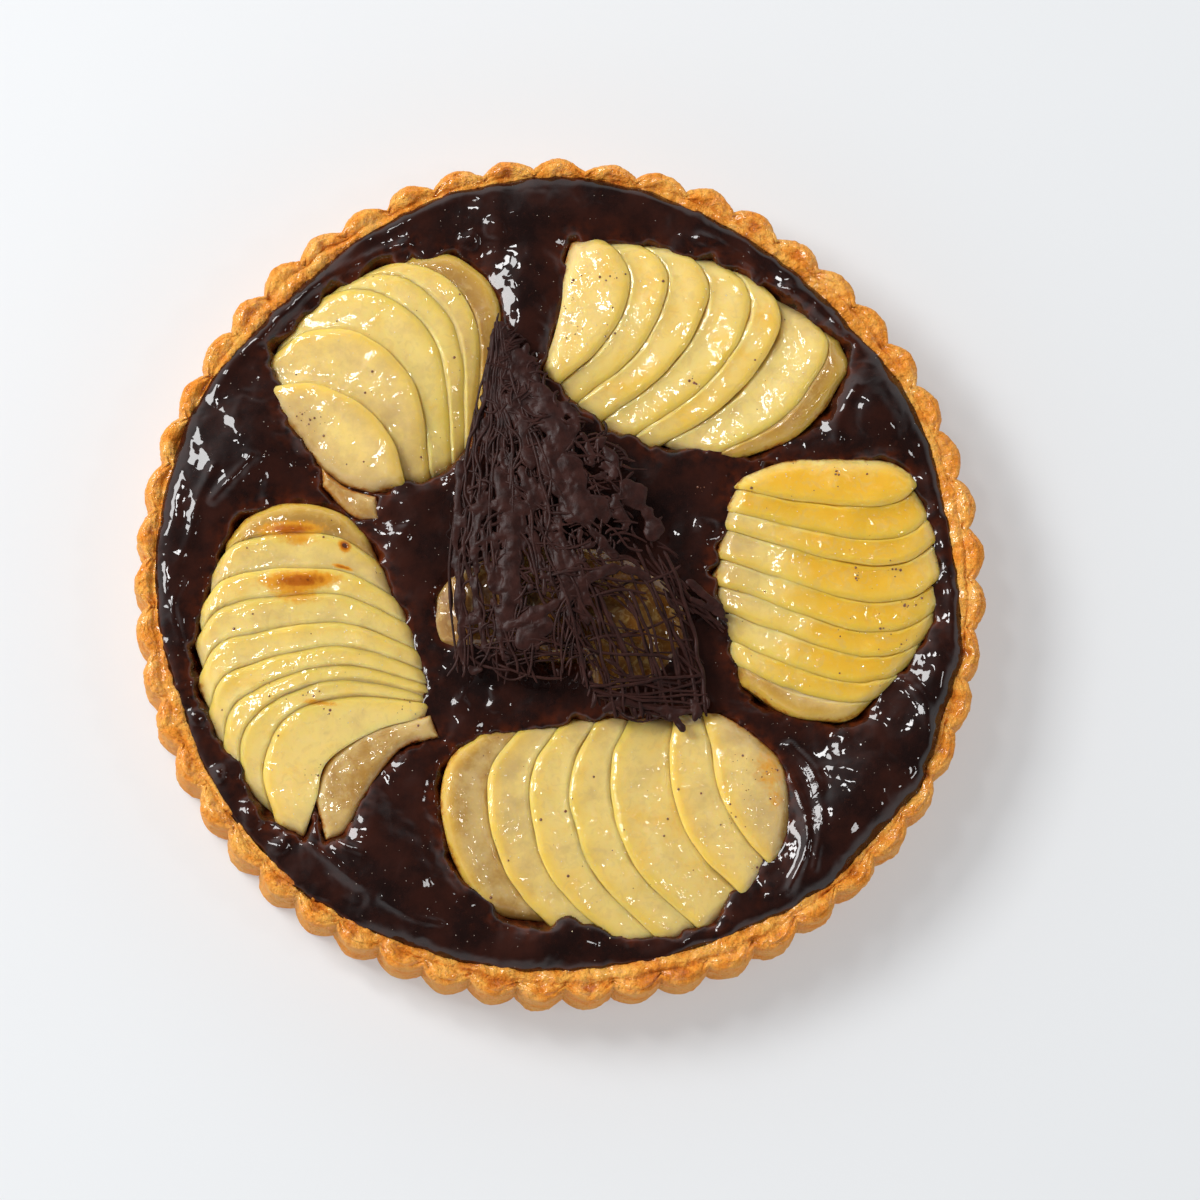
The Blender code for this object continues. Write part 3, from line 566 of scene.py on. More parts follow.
def makeCrust():
    size = crust
    columns = size["lobes"] * size["columns"]
    number = np.arange(columns) / size["columns"]
    turn = math.tau * number / size["lobes"]
    angle = size["firstLobe"] + turn + size["lobeShift"] * (1 - np.cos(turn) + np.sin(turn))
    lobe = np.abs(np.cos(np.pi * number)) ** 0.85
    outer = size["radius"] + outOfRound(angle)
    unit = onCircle(angle)
    # the shift that centres the fluted outline on the origin
    edge = unit * (outer - size["fluteDepth"] * (1 - lobe))[:, None]
    centre = -(edge.min(axis=0) + edge.max(axis=0)) / 2
    rim = rimHeight(angle) + 0.25 * roughNoise(edge, 14.0, 5)
    inside = innerRadius(angle)
    rows, layers = [], {"lobe": [], "flute": [], "dimple": [], "rough": [], "top": [], "hollow": []}

    def addRow(spot, height, flute, dimple, rough, top, hollow):
        ones = np.ones(columns)
        rows.append(np.column_stack([spot, height * ones]))
        for layerName, value in zip(layers, (number, flute, dimple, rough, top, hollow)):
            layers[layerName].append(value * ones)

    def outerSpot(inset):
        return unit * (outer - inset)[:, None] + centre

    lobeNumber = np.round(number).astype(int) % size["lobes"]
    uneven = np.array([math.sin(n * 2.3) * math.cos(n * 1.1 + 1) for n in range(size["lobes"])])
    dimpleStrength = np.clip(0.45 + 0.55 * uneven, 0.15, 1.0)[lobeNumber]
    offLobe = (number - np.round(number)) * math.tau * 110 / size["lobes"]  # mm along the rim from the lobe
    # from the middle of the underside outwards
    # the last value of each row, hollow, is painted shade where it darkens the underside, the foot and the
    # low wall
    for inset in (100.0, 60.0, 20.0, 6.0, 3.0):
        addRow(outerSpot(inset), 0.0, 1.0 if inset < 10 else 0.0, 0.0, 0.0, 0.0, 0.3)
    # the rounded foot, the fluted wall and the rounded lip
    for turnShare in np.linspace(0, 1, 6):
        bend = turnShare * math.pi / 2
        height = size["footRound"] * (1 - math.cos(bend))
        inset = size["footRound"] * (1 - math.sin(bend))
        addRow(outerSpot(inset), height, 1.0, 0.0, 0.3 * turnShare, 0.0, 0.25)
    lipStart = rim - size["lipRound"]
    for share in np.linspace(0.04, 1, 24):
        height = size["footRound"] + (lipStart - size["footRound"]) * share
        unevenness = softNoise(np.column_stack([number * 3, np.full(columns, share * 9)]), 2.0, 8)
        swell = 0.35 * np.sin(share * math.pi) * unevenness
        spot = outerSpot(size["lean"] * share) + unit * swell[:, None]
        addRow(spot, height, 1.0, 0.0, 0.8, 0.0, 0.15 * (1 - share))
    for turnShare in np.linspace(0.12, 1, 8):
        bend = turnShare * math.pi / 2
        height = lipStart + size["lipRound"] * math.sin(bend)
        inset = size["lean"] + size["lipRound"] * (1 - math.cos(bend))
        addRow(outerSpot(inset), height, 1.0 - 0.1 * turnShare, 0.0, 0.7, turnShare ** 2, 0.0)
    # the rim's top, with dimples, a crease and valleys where the flutes run in
    lipSpot = outerSpot(size["lean"] + size["lipRound"])
    innerSpot = unit * inside[:, None]
    width = np.linalg.norm(lipSpot - innerSpot, axis=1)
    for share in np.linspace(0.05, 1, 22):
        spot = lipSpot + (innerSpot - lipSpot) * share
        across = share * width
        fluteShare = 0.9 * bell(across, 0, 2.6)
        high, place, wide = size["hump"]
        hump = high * lobe * bell(across, place, wide)
        crease = bell(across - 0.7 * softNoise(edge, 7.0, 3), *size["crease"])
        crease *= 0.55 + 0.45 * softNoise(edge, 11.0, 31)
        high, place, wide = size["band"]
        band = high * bell(across, place, wide)
        deep, place, wide = size["valley"]
        valley = deep * (1 - lobe) ** 1.3 * bell(across, place, wide)
        place, wide, long = size["dimple"]
        pit = bell(across, place, wide) * bell(offLobe, 0, long) * dimpleStrength
        drop = size["lipDrop"] * share ** 2
        height = rim + hump - crease - valley + band - drop
        # hollow: painted shade in the dimple, the crease, the flute valley and along the inner edge. The rise
        # toward the tart's top and bottom and the noise are real browning.
        hollow = 0.9 * pit + 0.5 * np.clip(crease, 0, 1) + 0.35 * (1 - lobe) * bell(across, 0, 2.2)
        hollow += 0.35 * smooth(share * width, width - 1.6, width)
        hollow += 0.3 * np.abs(np.sin(angle)) ** 3 - 0.12 + 0.12 * softNoise(edge, 16.0, 32)
        addRow(spot, height, fluteShare, pit, 1.0, 1.0, hollow)
    # the well's wall and floor
    innerTop = rim - size["lipDrop"]
    for share in (0.04, 0.1, 0.3, 0.6, 1.0):
        height = innerTop + (size["base"] - innerTop) * share
        addRow(unit * (inside - size["draft"] * share)[:, None], height, 0.0, 0.0, 0.3, 0.0, 0.4)
    for share in (0.7, 0.3):
        addRow(unit * ((inside - size["draft"]) * share)[:, None], size["base"], 0.0, 0.0, 0.0, 0.0, 0.3)
    points = np.concatenate(rows)
    faces = ringFaces(len(rows), columns)
    first = len(points)
    points = np.vstack([points, [[centre[0], centre[1], 0.0], [0.0, 0.0, size["base"]]]])
    closeRing(faces, np.arange(columns), first, upwards=False)
    closeRing(faces, np.arange(first - columns, first), first + 1, upwards=True)
    full = {layerName: np.concatenate([*values, [0.0, 0.0]]) for layerName, values in layers.items()}
    piece = makeMesh("pastryCase", points, faces, None, full)
    grown(piece, crustTree(), {"Flute Depth": size["fluteDepth"] * mm, "Dimple Depth": 1.1 * mm,
                               "Crumb Height": 1.55 * mm, "Material": crustMaterial})
    settle(piece, "crust", slot="baked_crust")


makeCrust()
print("crust made")


# fans of pear slices

fanShape = {
    "crest": 30.5, "tilt": 16.0, "pocket": 20.0, "columns": 150, "round": (4.4, 1.75), "tuck": 8.0,
    "uneven": 0.45, "lift": 0.35, "ripple": 0.13, "bead": 0.17, "beadInset": 1.5, "beadWidth": 0.6,
    "pool": 0.56, "deepestPool": 1.6, "poolWidth": 2.3, "sink": 1.9, "sinkWidth": 3.6,
}

# heel: back edge of the top slice; arcs: raised edge of the top, a middle and the last slice
fans = {
    "upper_right": {
        "heel": ((2.5, 88.0), (0.5, 80.5), (0.0, 72.0), (-2.0, 63.0), (-5.0, 54.0)),
        "arcs": (
            ((9.5, 89.0), (15.5, 83.5), (17.5, 75.0), (11.5, 61.0), (-1.5, 49.5)),
            ((42.0, 83.0), (48.0, 76.5), (48.5, 66.5), (37.5, 50.0), (18.0, 36.0)),
            ((72.5, 62.5), (74.5, 56.0), (71.5, 49.5), (62.0, 37.5), (46.0, 31.0)),
        ),
        "steps": (0.0, 0.145, 0.31, 0.5, 0.64, 0.89, 1.0),
        "capTilt": 8.0,
        "tones": (0.57, 0.57, 0.6, 0.57, 0.58, 0.42, -0.15),
    },
    "right": {
        "heel": ((46.5, 26.0), (58.5, 30.5), (71.5, 31.0), (84.5, 30.5), (91.5, 26.5)),
        "arcs": (
            ((45.0, 23.0), (58.0, 20.0), (75.0, 18.0), (87.0, 19.5), (92.5, 24.0)),
            ((40.0, -2.0), (55.5, -7.5), (75.0, -14.0), (89.0, -13.5), (98.0, -7.5)),
            ((47.0, -28.5), (58.0, -35.5), (69.5, -37.5), (76.0, -36.0), (81.0, -31.5)),
        ),
        "steps": (0.0, 0.118, 0.213, 0.366, 0.5, 0.622, 0.765, 0.89, 1.0),
        "capTilt": 10.0,
        "tones": (0.95, 0.92, 0.84, 0.78, 0.78, 0.74, 0.74, 0.8, 0.2),
    },
    "bottom": {
        "heel": ((40.5, -35.5), (49.5, -41.0), (57.5, -49.5), (59.0, -61.5), (56.0, -73.0)),
        "arcs": (
            ((36.5, -36.0), (38.5, -44.5), (40.5, -55.0), (45.5, -65.5), (53.0, -74.5)),
            ((9.5, -36.5), (3.0, -48.5), (2.5, -61.5), (9.0, -78.5), (26.5, -95.0)),
            ((-21.5, -40.5), (-29.5, -49.0), (-31.0, -60.5), (-27.0, -75.5), (-20.0, -86.5)),
        ),
        "steps": (0.0, 0.145, 0.356, 0.5, 0.65, 0.811, 1.0),
        "capTilt": 9.0,
        "tones": (0.3, 0.42, 0.5, 0.42, 0.46, 0.36, 0.06),
    },
    "left": {
        "heel": ((-66.0, -68.0), (-62.8, -58.0), (-60.0, -48.5), (-47.5, -40.5), (-34.5, -37.0)),
        "arcs": (
            ((-73.5, -64.5), (-76.5, -50.5), (-70.5, -37.0), (-54.5, -31.5), (-34.5, -33.0)),
            ((-93.5, -27.0), (-87.5, -18.0), (-71.0, -14.0), (-54.5, -13.0), (-36.5, -19.5)),
            ((-86.0, 9.0), (-80.0, 15.5), (-68.0, 18.5), (-57.5, 16.5), (-50.5, 11.0)),
        ),
        "steps": (0.0, 0.15, 0.25, 0.37, 0.5, 0.641, 0.75, 0.89, 1.0),
        "capTilt": 6.0,
        "tones": (0.5, 0.5, 0.5, 0.52, 0.52, 0.5, 0.64, 0.34, -0.2),
    },
    "upper_left": {
        "heel": ((-75.5, 46.5), (-69.5, 37.0), (-62.5, 28.5), (-56.0, 23.5), (-48.5, 21.5)),
        "arcs": (
            ((-75.0, 49.0), (-63.0, 49.5), (-52.0, 44.5), (-44.0, 35.0), (-40.5, 23.5)),
            ((-72.0, 64.5), (-61.5, 73.0), (-46.0, 73.0), (-31.5, 58.0), (-28.0, 28.0)),
            ((-40.5, 85.0), (-27.5, 84.0), (-18.0, 75.5), (-15.5, 63.5), (-19.0, 41.0)),
        ),
        "steps": (0.0, 0.258, 0.5, 0.665, 0.823, 1.0),
        "capTilt": 9.0,
        "tones": (0.33, 0.34, 0.52, 0.5, 0.4, -0.12),
    },
}

# browned places: x, y, half length, half width, turn in degrees, strength
toasted = (
    (-70.0, 11.3, 8.0, 2.1, 2.0, 1.05),
    (-68.0, 9.0, 5.5, 2.2, 0.0, 0.55),
    (-67.5, -2.0, 9.5, 2.4, 3.0, 1.05),
    (-68.5, -5.0, 7.0, 3.2, 0.0, 0.62),
    (-62.5, -33.5, 6.0, 0.9, -5.0, 0.6),
    (54.0, -50.0, 5.5, 7.0, 0.0, 0.45),
    (55.0, -58.0, 3.0, 4.0, 0.0, 0.4),
    (-56.0, 7.2, 1.5, 1.2, -30.0, 1.5),
    (-56.5, 1.8, 3.0, 0.4, -15.0, 1.2),
)


def fanEdges(fan):
    edges = []
    for share in fan["steps"]:
        weights = ((1 - share) * (1 - 2 * share), 4 * share * (1 - share), share * (2 * share - 1))
        key = sum(np.array(arc) * weight for arc, weight in zip(fan["arcs"], weights))
        edges.append(through(key, 90))
    return edges


def slicePlane(edge, heel, tilt):  # returns the height of the slice's top as a function of x, y
    chord = edge[-1] - edge[0]
    lean = np.array([chord[1], -chord[0]])
    lean /= np.linalg.norm(lean)
    if lean @ (edge[len(edge) // 2] - heel.mean(axis=0)) < 0:
        lean = -lean
    crest = edge[np.argmax(edge @ lean)]
    slope = math.tan(math.radians(tilt))
    return lambda spots: fanShape["crest"] + slope * ((spots - crest) @ lean)


# a slice from its raised front edge back to where the one above covers it, with walls down to the next
def sliceSkin(edge, back, top, under, pooled, fanBorder, number):
    size = fanShape
    share = np.linspace(0, 1, size["columns"])
    share = share - 0.6 * np.sin(2 * math.pi * share) / (2 * math.pi)  # closer together at both ends
    longer = [edge[:1] + (edge[:1] - edge[4:5]) * 0.6, edge, edge[-1:] + (edge[-1:] - edge[-5:-4]) * 0.6]
    front = along(np.vstack(longer), share)
    sway = [softNoise(front, 7.0, start + number) for start in (140, 170)]
    front += size["uneven"] * np.column_stack(sway)
    rear = along(back, share)
    reach = np.linalg.norm(rear - front, axis=1, keepdims=True)
    direction = (rear - front) / np.maximum(reach, 1e-6)
    near = np.array([0, 0.04, 0.12, 0.25, 0.45, 0.7, 1.0, 1.35, 1.75, 2.2])  # rows at the raised edge
    rows = [front + direction * np.minimum(step, reach * (0.1 + 0.05 * k)) for k, step in enumerate(near)]
    start = rows[-1]
    rows += [start + (rear - start) * step for step in np.linspace(0, 1, 19)[1:]]
    spots = np.array(rows)
    outline = np.vstack([rear[:1], front, rear[-1:]])
    border = distanceTo(spots, outline)
    wide, tall = size["round"]
    fall = tall * (1 - np.sqrt(1 - np.clip(1 - border / wide, 0, 1) ** 2))
    heights = top(spots) + size["lift"] - fall + size["uneven"] * roughNoise(spots, 11.0, 40 + number, 2)
    heights += size["ripple"] * softNoise(spots, 3.6, 90 + number)
    bead = size["bead"] * (0.5 + 0.5 * softNoise(spots, 6.0, 110 + number))
    heights += bead * bell(border, size["beadInset"], size["beadWidth"])
    if pooled is not None:  # glaze has pooled in the step under the slice above
        outline, depth = pooled
        gap = -depthInside(spots, outline)
        heights += depth * np.exp(-np.clip(gap, 0, 50) / size["poolWidth"]) * smooth(gap, -0.4, 0.3)
    inner = np.clip(depthInside(spots, fanBorder), -3.0, size["sinkWidth"]) / size["sinkWidth"]
    heights -= size["sink"] * (1 - inner) ** 2
    points = np.concatenate([spots, heights[..., None]], axis=-1).reshape(-1, 3)
    faces, rim = gridFaces(len(spots), size["columns"])
    if areaOf(points[rim]) < 0:
        faces, rim = faces[:, ::-1], rim[::-1]
    faces = faces.tolist()
    rimSpots = points[rim]
    floor = under(rimSpots[:, :2]) if under else np.full(len(rim), size["pocket"])
    floor = np.minimum(floor - 0.4, rimSpots[:, 2] - 0.25)
    middle = rimSpots[:, :2].mean(axis=0)
    levels = []
    for part in (0.3, 0.7, 1.0):
        level = rimSpots.copy()
        level[:, 2] = rimSpots[:, 2] + (floor - rimSpots[:, 2]) * part
        levels.append(level)
    return addWall(points, faces, rim, levels, [*middle, floor.mean()]), faces


def sliceLayers(points, edge, pooled, border, tone, fanName, number):
    spots = points[:, :2]
    # edge: the band along the raised edge that the shader paints lighter and yellower as painted light
    layers = {"edge": bell(distanceTo(spots, edge), 0, 2.8), "shade": np.zeros(len(spots))}
    # shade: painted shade on this slice next to the edge of the slice above, fading away from it and broken
    # up by noise
    if pooled is not None:
        gap = -depthInside(spots, pooled[0])
        broken = 0.65 + 0.35 * softNoise(spots, 5.0, 25)
        falloff = np.exp(-np.clip(gap, 0, 50) / 2.4)
        layers["shade"] = broken * (0.3 * bell(gap, 0, 0.5) + 0.26 * falloff)
    depth = depthInside(spots, border)
    layers["fringe"] = (0.8 + 0.25 * softNoise(spots, 9.0, 26)) * np.exp(-np.abs(depth) / 1.35)
    warm = np.zeros(len(spots))
    if fanName == "right":  # golden towards the lower right of this fan
        warm = 0.5 * smooth(spots[:, 0], 48, 74) - 0.36
        warm *= 0.25 if number in (0, 1, 7) else 1.0
    layers["tone"] = tone + warm + 0.12 * softNoise(spots, 12.0, 21)
    layers["tone"] -= 0.45 * np.exp(-np.clip(depth, 0, 50) / 2.6)
    toast = np.zeros(len(spots))
    for x, y, length, width, turn, strength in toasted:
        far, side = turnedBy(spots, x, y, turn)
        toast = np.maximum(toast, strength * bell(far, 0, length) * bell(side, 0, width))
    layers["toast"] = toast
    return layers


fanBorders = []  # outlines of the hollows that the pears lie in
scallops = []  # where chocolate laps in between two slices: x, y, reach, strength


def makeFan(fanName, fan, seed):
    edges = fanEdges(fan)
    heel = through(fan["heel"], 90)
    tilts = [fan["capTilt"]] + [fanShape["tilt"]] * (len(edges) - 1)
    planes = [slicePlane(edge, heel, tilt) for edge, tilt in zip(edges, tilts)]
    around = np.vstack([edges[-1], *(edge[-1:] for edge in edges[-2::-1]), heel[::-1],
                        *(edge[:1] for edge in edges[:-1])])
    border = hullOf(np.vstack([*edges, heel]))
    fanBorders.extend((around, hullOf(np.vstack(edges))))
    slope = math.tan(math.radians(fanShape["tilt"]))
    bare = 0.35 if fanName == "left" else 1.0  # the left fan's outer ends are less covered
    for edge in edges[:-1]:
        outer = max(edge[0], edge[-1], key=np.linalg.norm)
        inner = min(edge[0], edge[-1], key=np.linalg.norm)
        scallops.append((*outer, 2.6, 3.6 * bare))
        scallops.append((*inner, 2.0, 1.8))
    for k, edge in enumerate(edges):
        back, pooled = heel, None
        if k:
            above = edges[k - 1]
            reach = np.linalg.norm(heel - above, axis=1, keepdims=True)
            back = above + (heel - above) * np.minimum(1.0, fanShape["tuck"] / np.maximum(reach, 1e-6))
            step = slope * np.linalg.norm(edge - above, axis=1).max()
            depth = min(fanShape["pool"] * step, fanShape["deepestPool"])
            pooled = (np.vstack([above, heel[::-1]]), depth)
        under = planes[k + 1] if k + 1 < len(planes) else None
        points, faces = sliceSkin(edge, back, planes[k], under, pooled, border, seed * 20 + k)
        layers = sliceLayers(points, edge, pooled, border, fan["tones"][k], fanName, k)
        piece = makeMesh(f"slice_{fanName}_{k + 1}", points, faces, pearMaterial, layers)
        settle(piece, f"pear_{fanName}_{k + 1}", slot="glazed_pear")


for seed, (fanName, fan) in enumerate(fans.items()):
    makeFan(fanName, fan, seed + 1)
print("fans made")


# loose end slices tucked beside two of the fans, and the half pear in the middle

tucked = {
    "left_10": {
        "outline": ((-63.4, -58.0), (-60.6, -48.8), (-54.6, -43.2), (-47.6, -39.6), (-33.6, -36.2),
                    (-31.5, -42.0), (-41.0, -45.0), (-48.0, -53.6), (-54.5, -66.0), (-60.5, -69.0)),
        "height": 29.0, "tone": 0.02,
    },
    "upper_left_7": {
        "outline": ((-62.2, 28.2), (-55.8, 23.1), (-47.8, 20.5), (-46.8, 14.0), (-54.0, 15.2), (-61.8, 23.0)),
        "height": 28.1, "tone": -0.05,
    },
}


def disc(outline, count, profile):  # a slab over a star-shaped outline, as high as profile says
    middle = outline.mean(axis=0)
    arms = outline - middle
    turns = np.unwrap(np.arctan2(arms[:, 1], arms[:, 0]))
    order = np.argsort(turns % math.tau)
    angles = (turns % math.tau)[order]
    reach = np.linalg.norm(arms, axis=1)[order]
    unit, faces, rim = discGrid(count)
    theta = np.arctan2(unit[:, 1], unit[:, 0]) % math.tau
    turned = np.concatenate([angles - math.tau, angles, angles + math.tau])
    radius = np.interp(theta, turned, np.tile(reach, 3))
    spots = middle + unit * radius[:, None]
    points = np.column_stack([spots, profile(spots)])
    skirt = points[rim]
    skirt[:, 2] = fanShape["pocket"]
    return addWall(points, faces, rim, [skirt], [*middle, fanShape["pocket"]]), faces


def patch(first, second, columns, rows, profile):  # a slab between two lines, as high as profile says
    near = along(through(first, 60), np.linspace(0, 1, columns))
    far = along(through(second, 60), np.linspace(0, 1, columns))
    share = np.linspace(0, 1, rows)[:, None, None]
    spots = (near + (far - near) * share).reshape(-1, 2)
    faces, rim = gridFaces(rows, columns)
    outline = spots[rim]
    if areaOf(outline) < 0:
        faces, rim = faces[:, ::-1], rim[::-1]
    faces = faces.tolist()
    points = np.column_stack([spots, profile(spots, outline)])
    skirt = points[rim]
    skirt[:, 2] = fanShape["pocket"]
    middle = [*spots[(rows // 2) * columns + columns // 2], fanShape["pocket"]]
    return addWall(points, faces, rim, [skirt], middle), faces, outline


def makeTucked(name, size):

    def profile(spots, outline):
        gap = distanceTo(spots, outline, closed=True)
        fall = 2.6 * (1 - np.sqrt(1 - np.clip(1 - gap / 2.8, 0, 1) ** 2))
        return size["height"] - fall + 0.25 * roughNoise(spots, 9.0, 71, 2)

    half = len(size["outline"]) // 2
    points, faces, outline = patch(size["outline"][:half], size["outline"][:half - 1:-1], 90, 26, profile)
    spots = points[:, :2]
    zeros = np.zeros(len(spots))
    fringe = np.exp(-np.abs(depthInside(spots, outline)) / 1.2)
    layers = {"edge": zeros, "shade": zeros, "fringe": fringe, "toast": zeros,
              "tone": size["tone"] + 0.22 * softNoise(spots, 9.0, 22)}
    piece = makeMesh(f"slice_{name}", points, faces, pearMaterial, layers)
    settle(piece, f"pear_{name}", slot="glazed_pear")
    fanBorders.append(outline)


for name, size in tucked.items():
    makeTucked(name, size)

centrePear = {"centre": (0.0, -11.5), "length": 33.5, "width": 20.0, "height": 30.4, "turn": -4.0}


def makeCentrePear():
    size = centrePear
    turn = math.radians(size["turn"])
    steps = np.linspace(0, math.tau, 241)[:-1]
    local = np.column_stack([size["length"] * np.cos(steps), size["width"] * np.sin(steps)])
    spin = np.array([[math.cos(turn), math.sin(turn)], [-math.sin(turn), math.cos(turn)]])
    outline = local @ spin + size["centre"]

    def profile(spots):
        local = (spots - size["centre"]) @ spin.T
        share = np.hypot(local[:, 0] / size["length"], local[:, 1] / size["width"])
        lift = 0.5 + 0.5 * np.clip(1 - share ** 2, 0, 1) ** 0.42
        rise = (size["height"] - fanShape["pocket"]) * lift + 0.25 * roughNoise(spots, 11.0, 61, 2)
        left, low = -spots.T
        drowned = smooth(low + 1.5 * softNoise(spots, 6.0, 62), 16.5, 21.5) * smooth(left, 2, 8)
        corner = smooth(low + softNoise(spots, 6.0, 63), 19, 23) * smooth(left, -10, -5)
        drowned = np.maximum(drowned, corner)
        return fanShape["pocket"] + rise - 6.0 * drowned

    points, faces = disc(outline, 110, profile)
    spots = points[:, :2]
    zeros = np.zeros(len(spots))
    leftEnd = smooth(-spots[:, 0], 21, 27)
    # The low tone paints the half pear dark amber: painted shade of the net lying over it. The left end is
    # set lighter.
    layers = {"edge": zeros, "shade": zeros, "toast": zeros, "fringe": zeros,
              "tone": -0.75 + 0.2 * softNoise(spots, 8.0, 23) + 0.36 * leftEnd}
    piece = makeMesh("halfPear", points, faces, pearMaterial, layers)
    settle(piece, "pear_centre", slot="glazed_pear")
    return outline


centreBorder = makeCentrePear()
print("pears made")


# chocolate filling

filling = {
    "level": 26.9, "floor": 4.3, "gap": 0.45, "cells": 304,
    "hollow": 6.5, "hollowEdge": (-0.6, 2.6), "bead": 0.95, "beadInset": 2.0, "beadWidth": 1.5,
    "foldGain": 1.5, "pearSink": 4.5, "lapStrength": 6.0, "thinReach": 1.6,
}

# x, y, half length, half width, turn in degrees, height
mounds = (
    (-3.0, 96.0, 44.0, 8.0, 0.0, 2.2),
    (-9.0, 70.0, 22.0, 8.5, 90.0, 2.6),
    (-83.0, 29.0, 19.0, 17.0, 60.0, 4.2),
    (-99.0, 4.0, 24.0, 6.0, 90.0, 0.7),
    (-46.0, -74.0, 27.0, 16.0, -38.0, 4.6),
    (-8.0, -94.0, 24.0, 8.0, 0.0, 1.8),
    (74.0, -62.0, 31.0, 13.0, 52.0, 3.8),
    (97.0, -30.0, 22.0, 7.0, 75.0, 2.2),
    (82.0, 44.0, 15.0, 13.0, -60.0, 4.4),
    (64.0, 76.0, 26.0, 6.0, -45.0, 1.2),
    (-73.0, 72.0, 30.0, 5.0, 45.0, 1.2),
    (-42.0, 8.0, 14.0, 10.0, 80.0, 1.2),
)

# folds and waves on the chocolate: half width, height, then the line they follow
folds = (
    (1.3, 0.8, ((47.5, -41.0), (56.5, -49.0), (61.5, -59.0), (63.0, -70.0), (58.5, -81.0))),
    (1.2, 0.7, ((59.0, -43.5), (65.0, -51.0), (66.5, -63.0), (65.0, -75.5))),
    (1.3, 0.7, ((78.0, -82.0), (84.0, -74.0), (88.0, -66.0), (92.5, -57.0))),
    (1.6, 0.7, ((84.0, -20.0), (89.0, -27.0), (93.5, -33.0), (95.5, -45.0), (92.0, -58.0))),
    (1.3, 0.5, ((-90.0, 27.5), (-94.0, 18.5), (-95.5, 10.0), (-98.5, 3.0))),
    (1.1, 0.45, ((-98.0, -2.0), (-100.0, -9.0), (-97.5, -18.5))),
    (1.5, 0.8, ((-80.0, 30.0), (-84.5, 25.0), (-90.0, 19.0))),
    (1.6, 0.8, ((-78.0, 61.5), (-65.0, 75.0), (-52.5, 82.0), (-40.0, 87.0))),
    (1.6, 0.9, ((36.0, 89.0), (45.5, 85.0), (54.0, 78.5), (60.0, 75.0), (72.0, 66.0))),
    (1.7, 0.8, ((76.0, 50.0), (72.0, 42.0), (71.5, 36.0))),
    (1.3, 0.7, ((-72.0, -66.0), (-64.0, -70.0), (-56.0, -77.0), (-52.0, -80.0))),
    (1.0, 0.5, ((-62.0, -62.0), (-57.5, -69.0), (-51.0, -72.0))),
    (1.1, 0.6, ((-46.0, -84.0), (-38.0, -88.5), (-31.0, -90.0))),
)

# dark lumps: x, y, radius, height
lumps = (
    (-93.5, -37.0, 3.2, 1.1), (-88.5, -52.0, 2.2, 1.6), (-79.5, -62.0, 3.4, 1.2),
    (-72.0, -70.5, 3.0, 1.0), (-24.0, 88.0, 3.0, 0.8), (-17.0, 90.0, 3.2, 0.8),
    (58.0, 73.5, 2.6, 0.9), (52.5, 76.5, 2.2, 0.9), (72.0, 65.0, 2.8, 0.9), (-41.5, 10.5, 3.0, 0.8),
    (37.0, 13.0, 2.6, 0.5), (-16.0, -33.0, 3.0, 0.6), (-26.0, -33.0, 2.4, 0.6),
)


# where the chocolate laps in over the pears: x, y, reach
laps = (
    (-21.0, -85.0, 3.6), (2.0, -89.0, 4.5), (10.0, -93.0, 3.0), (23.0, -97.0, 3.0), (34.0, -95.0, 2.6),
    (45.5, -84.0, 4.0), (-41.0, 83.0, 3.0), (-35.0, 84.0, 2.5), (-74.0, 47.0, 2.6), (84.0, -30.0, 3.2),
    (62.0, 60.0, 3.0), (-34.0, -35.0, 3.0), (-40.0, 22.0, 2.6), (95.0, -3.0, 2.2), (-84.0, -50.0, 2.4),
)


def moundHeight(spots):
    total = np.zeros(len(spots))
    for x, y, length, width, turn, height in mounds:
        far, side = turnedBy(spots, x, y, turn)
        total += height * np.exp(-1.4 * ((far / length) ** 2 + (side / width) ** 2))
    return total


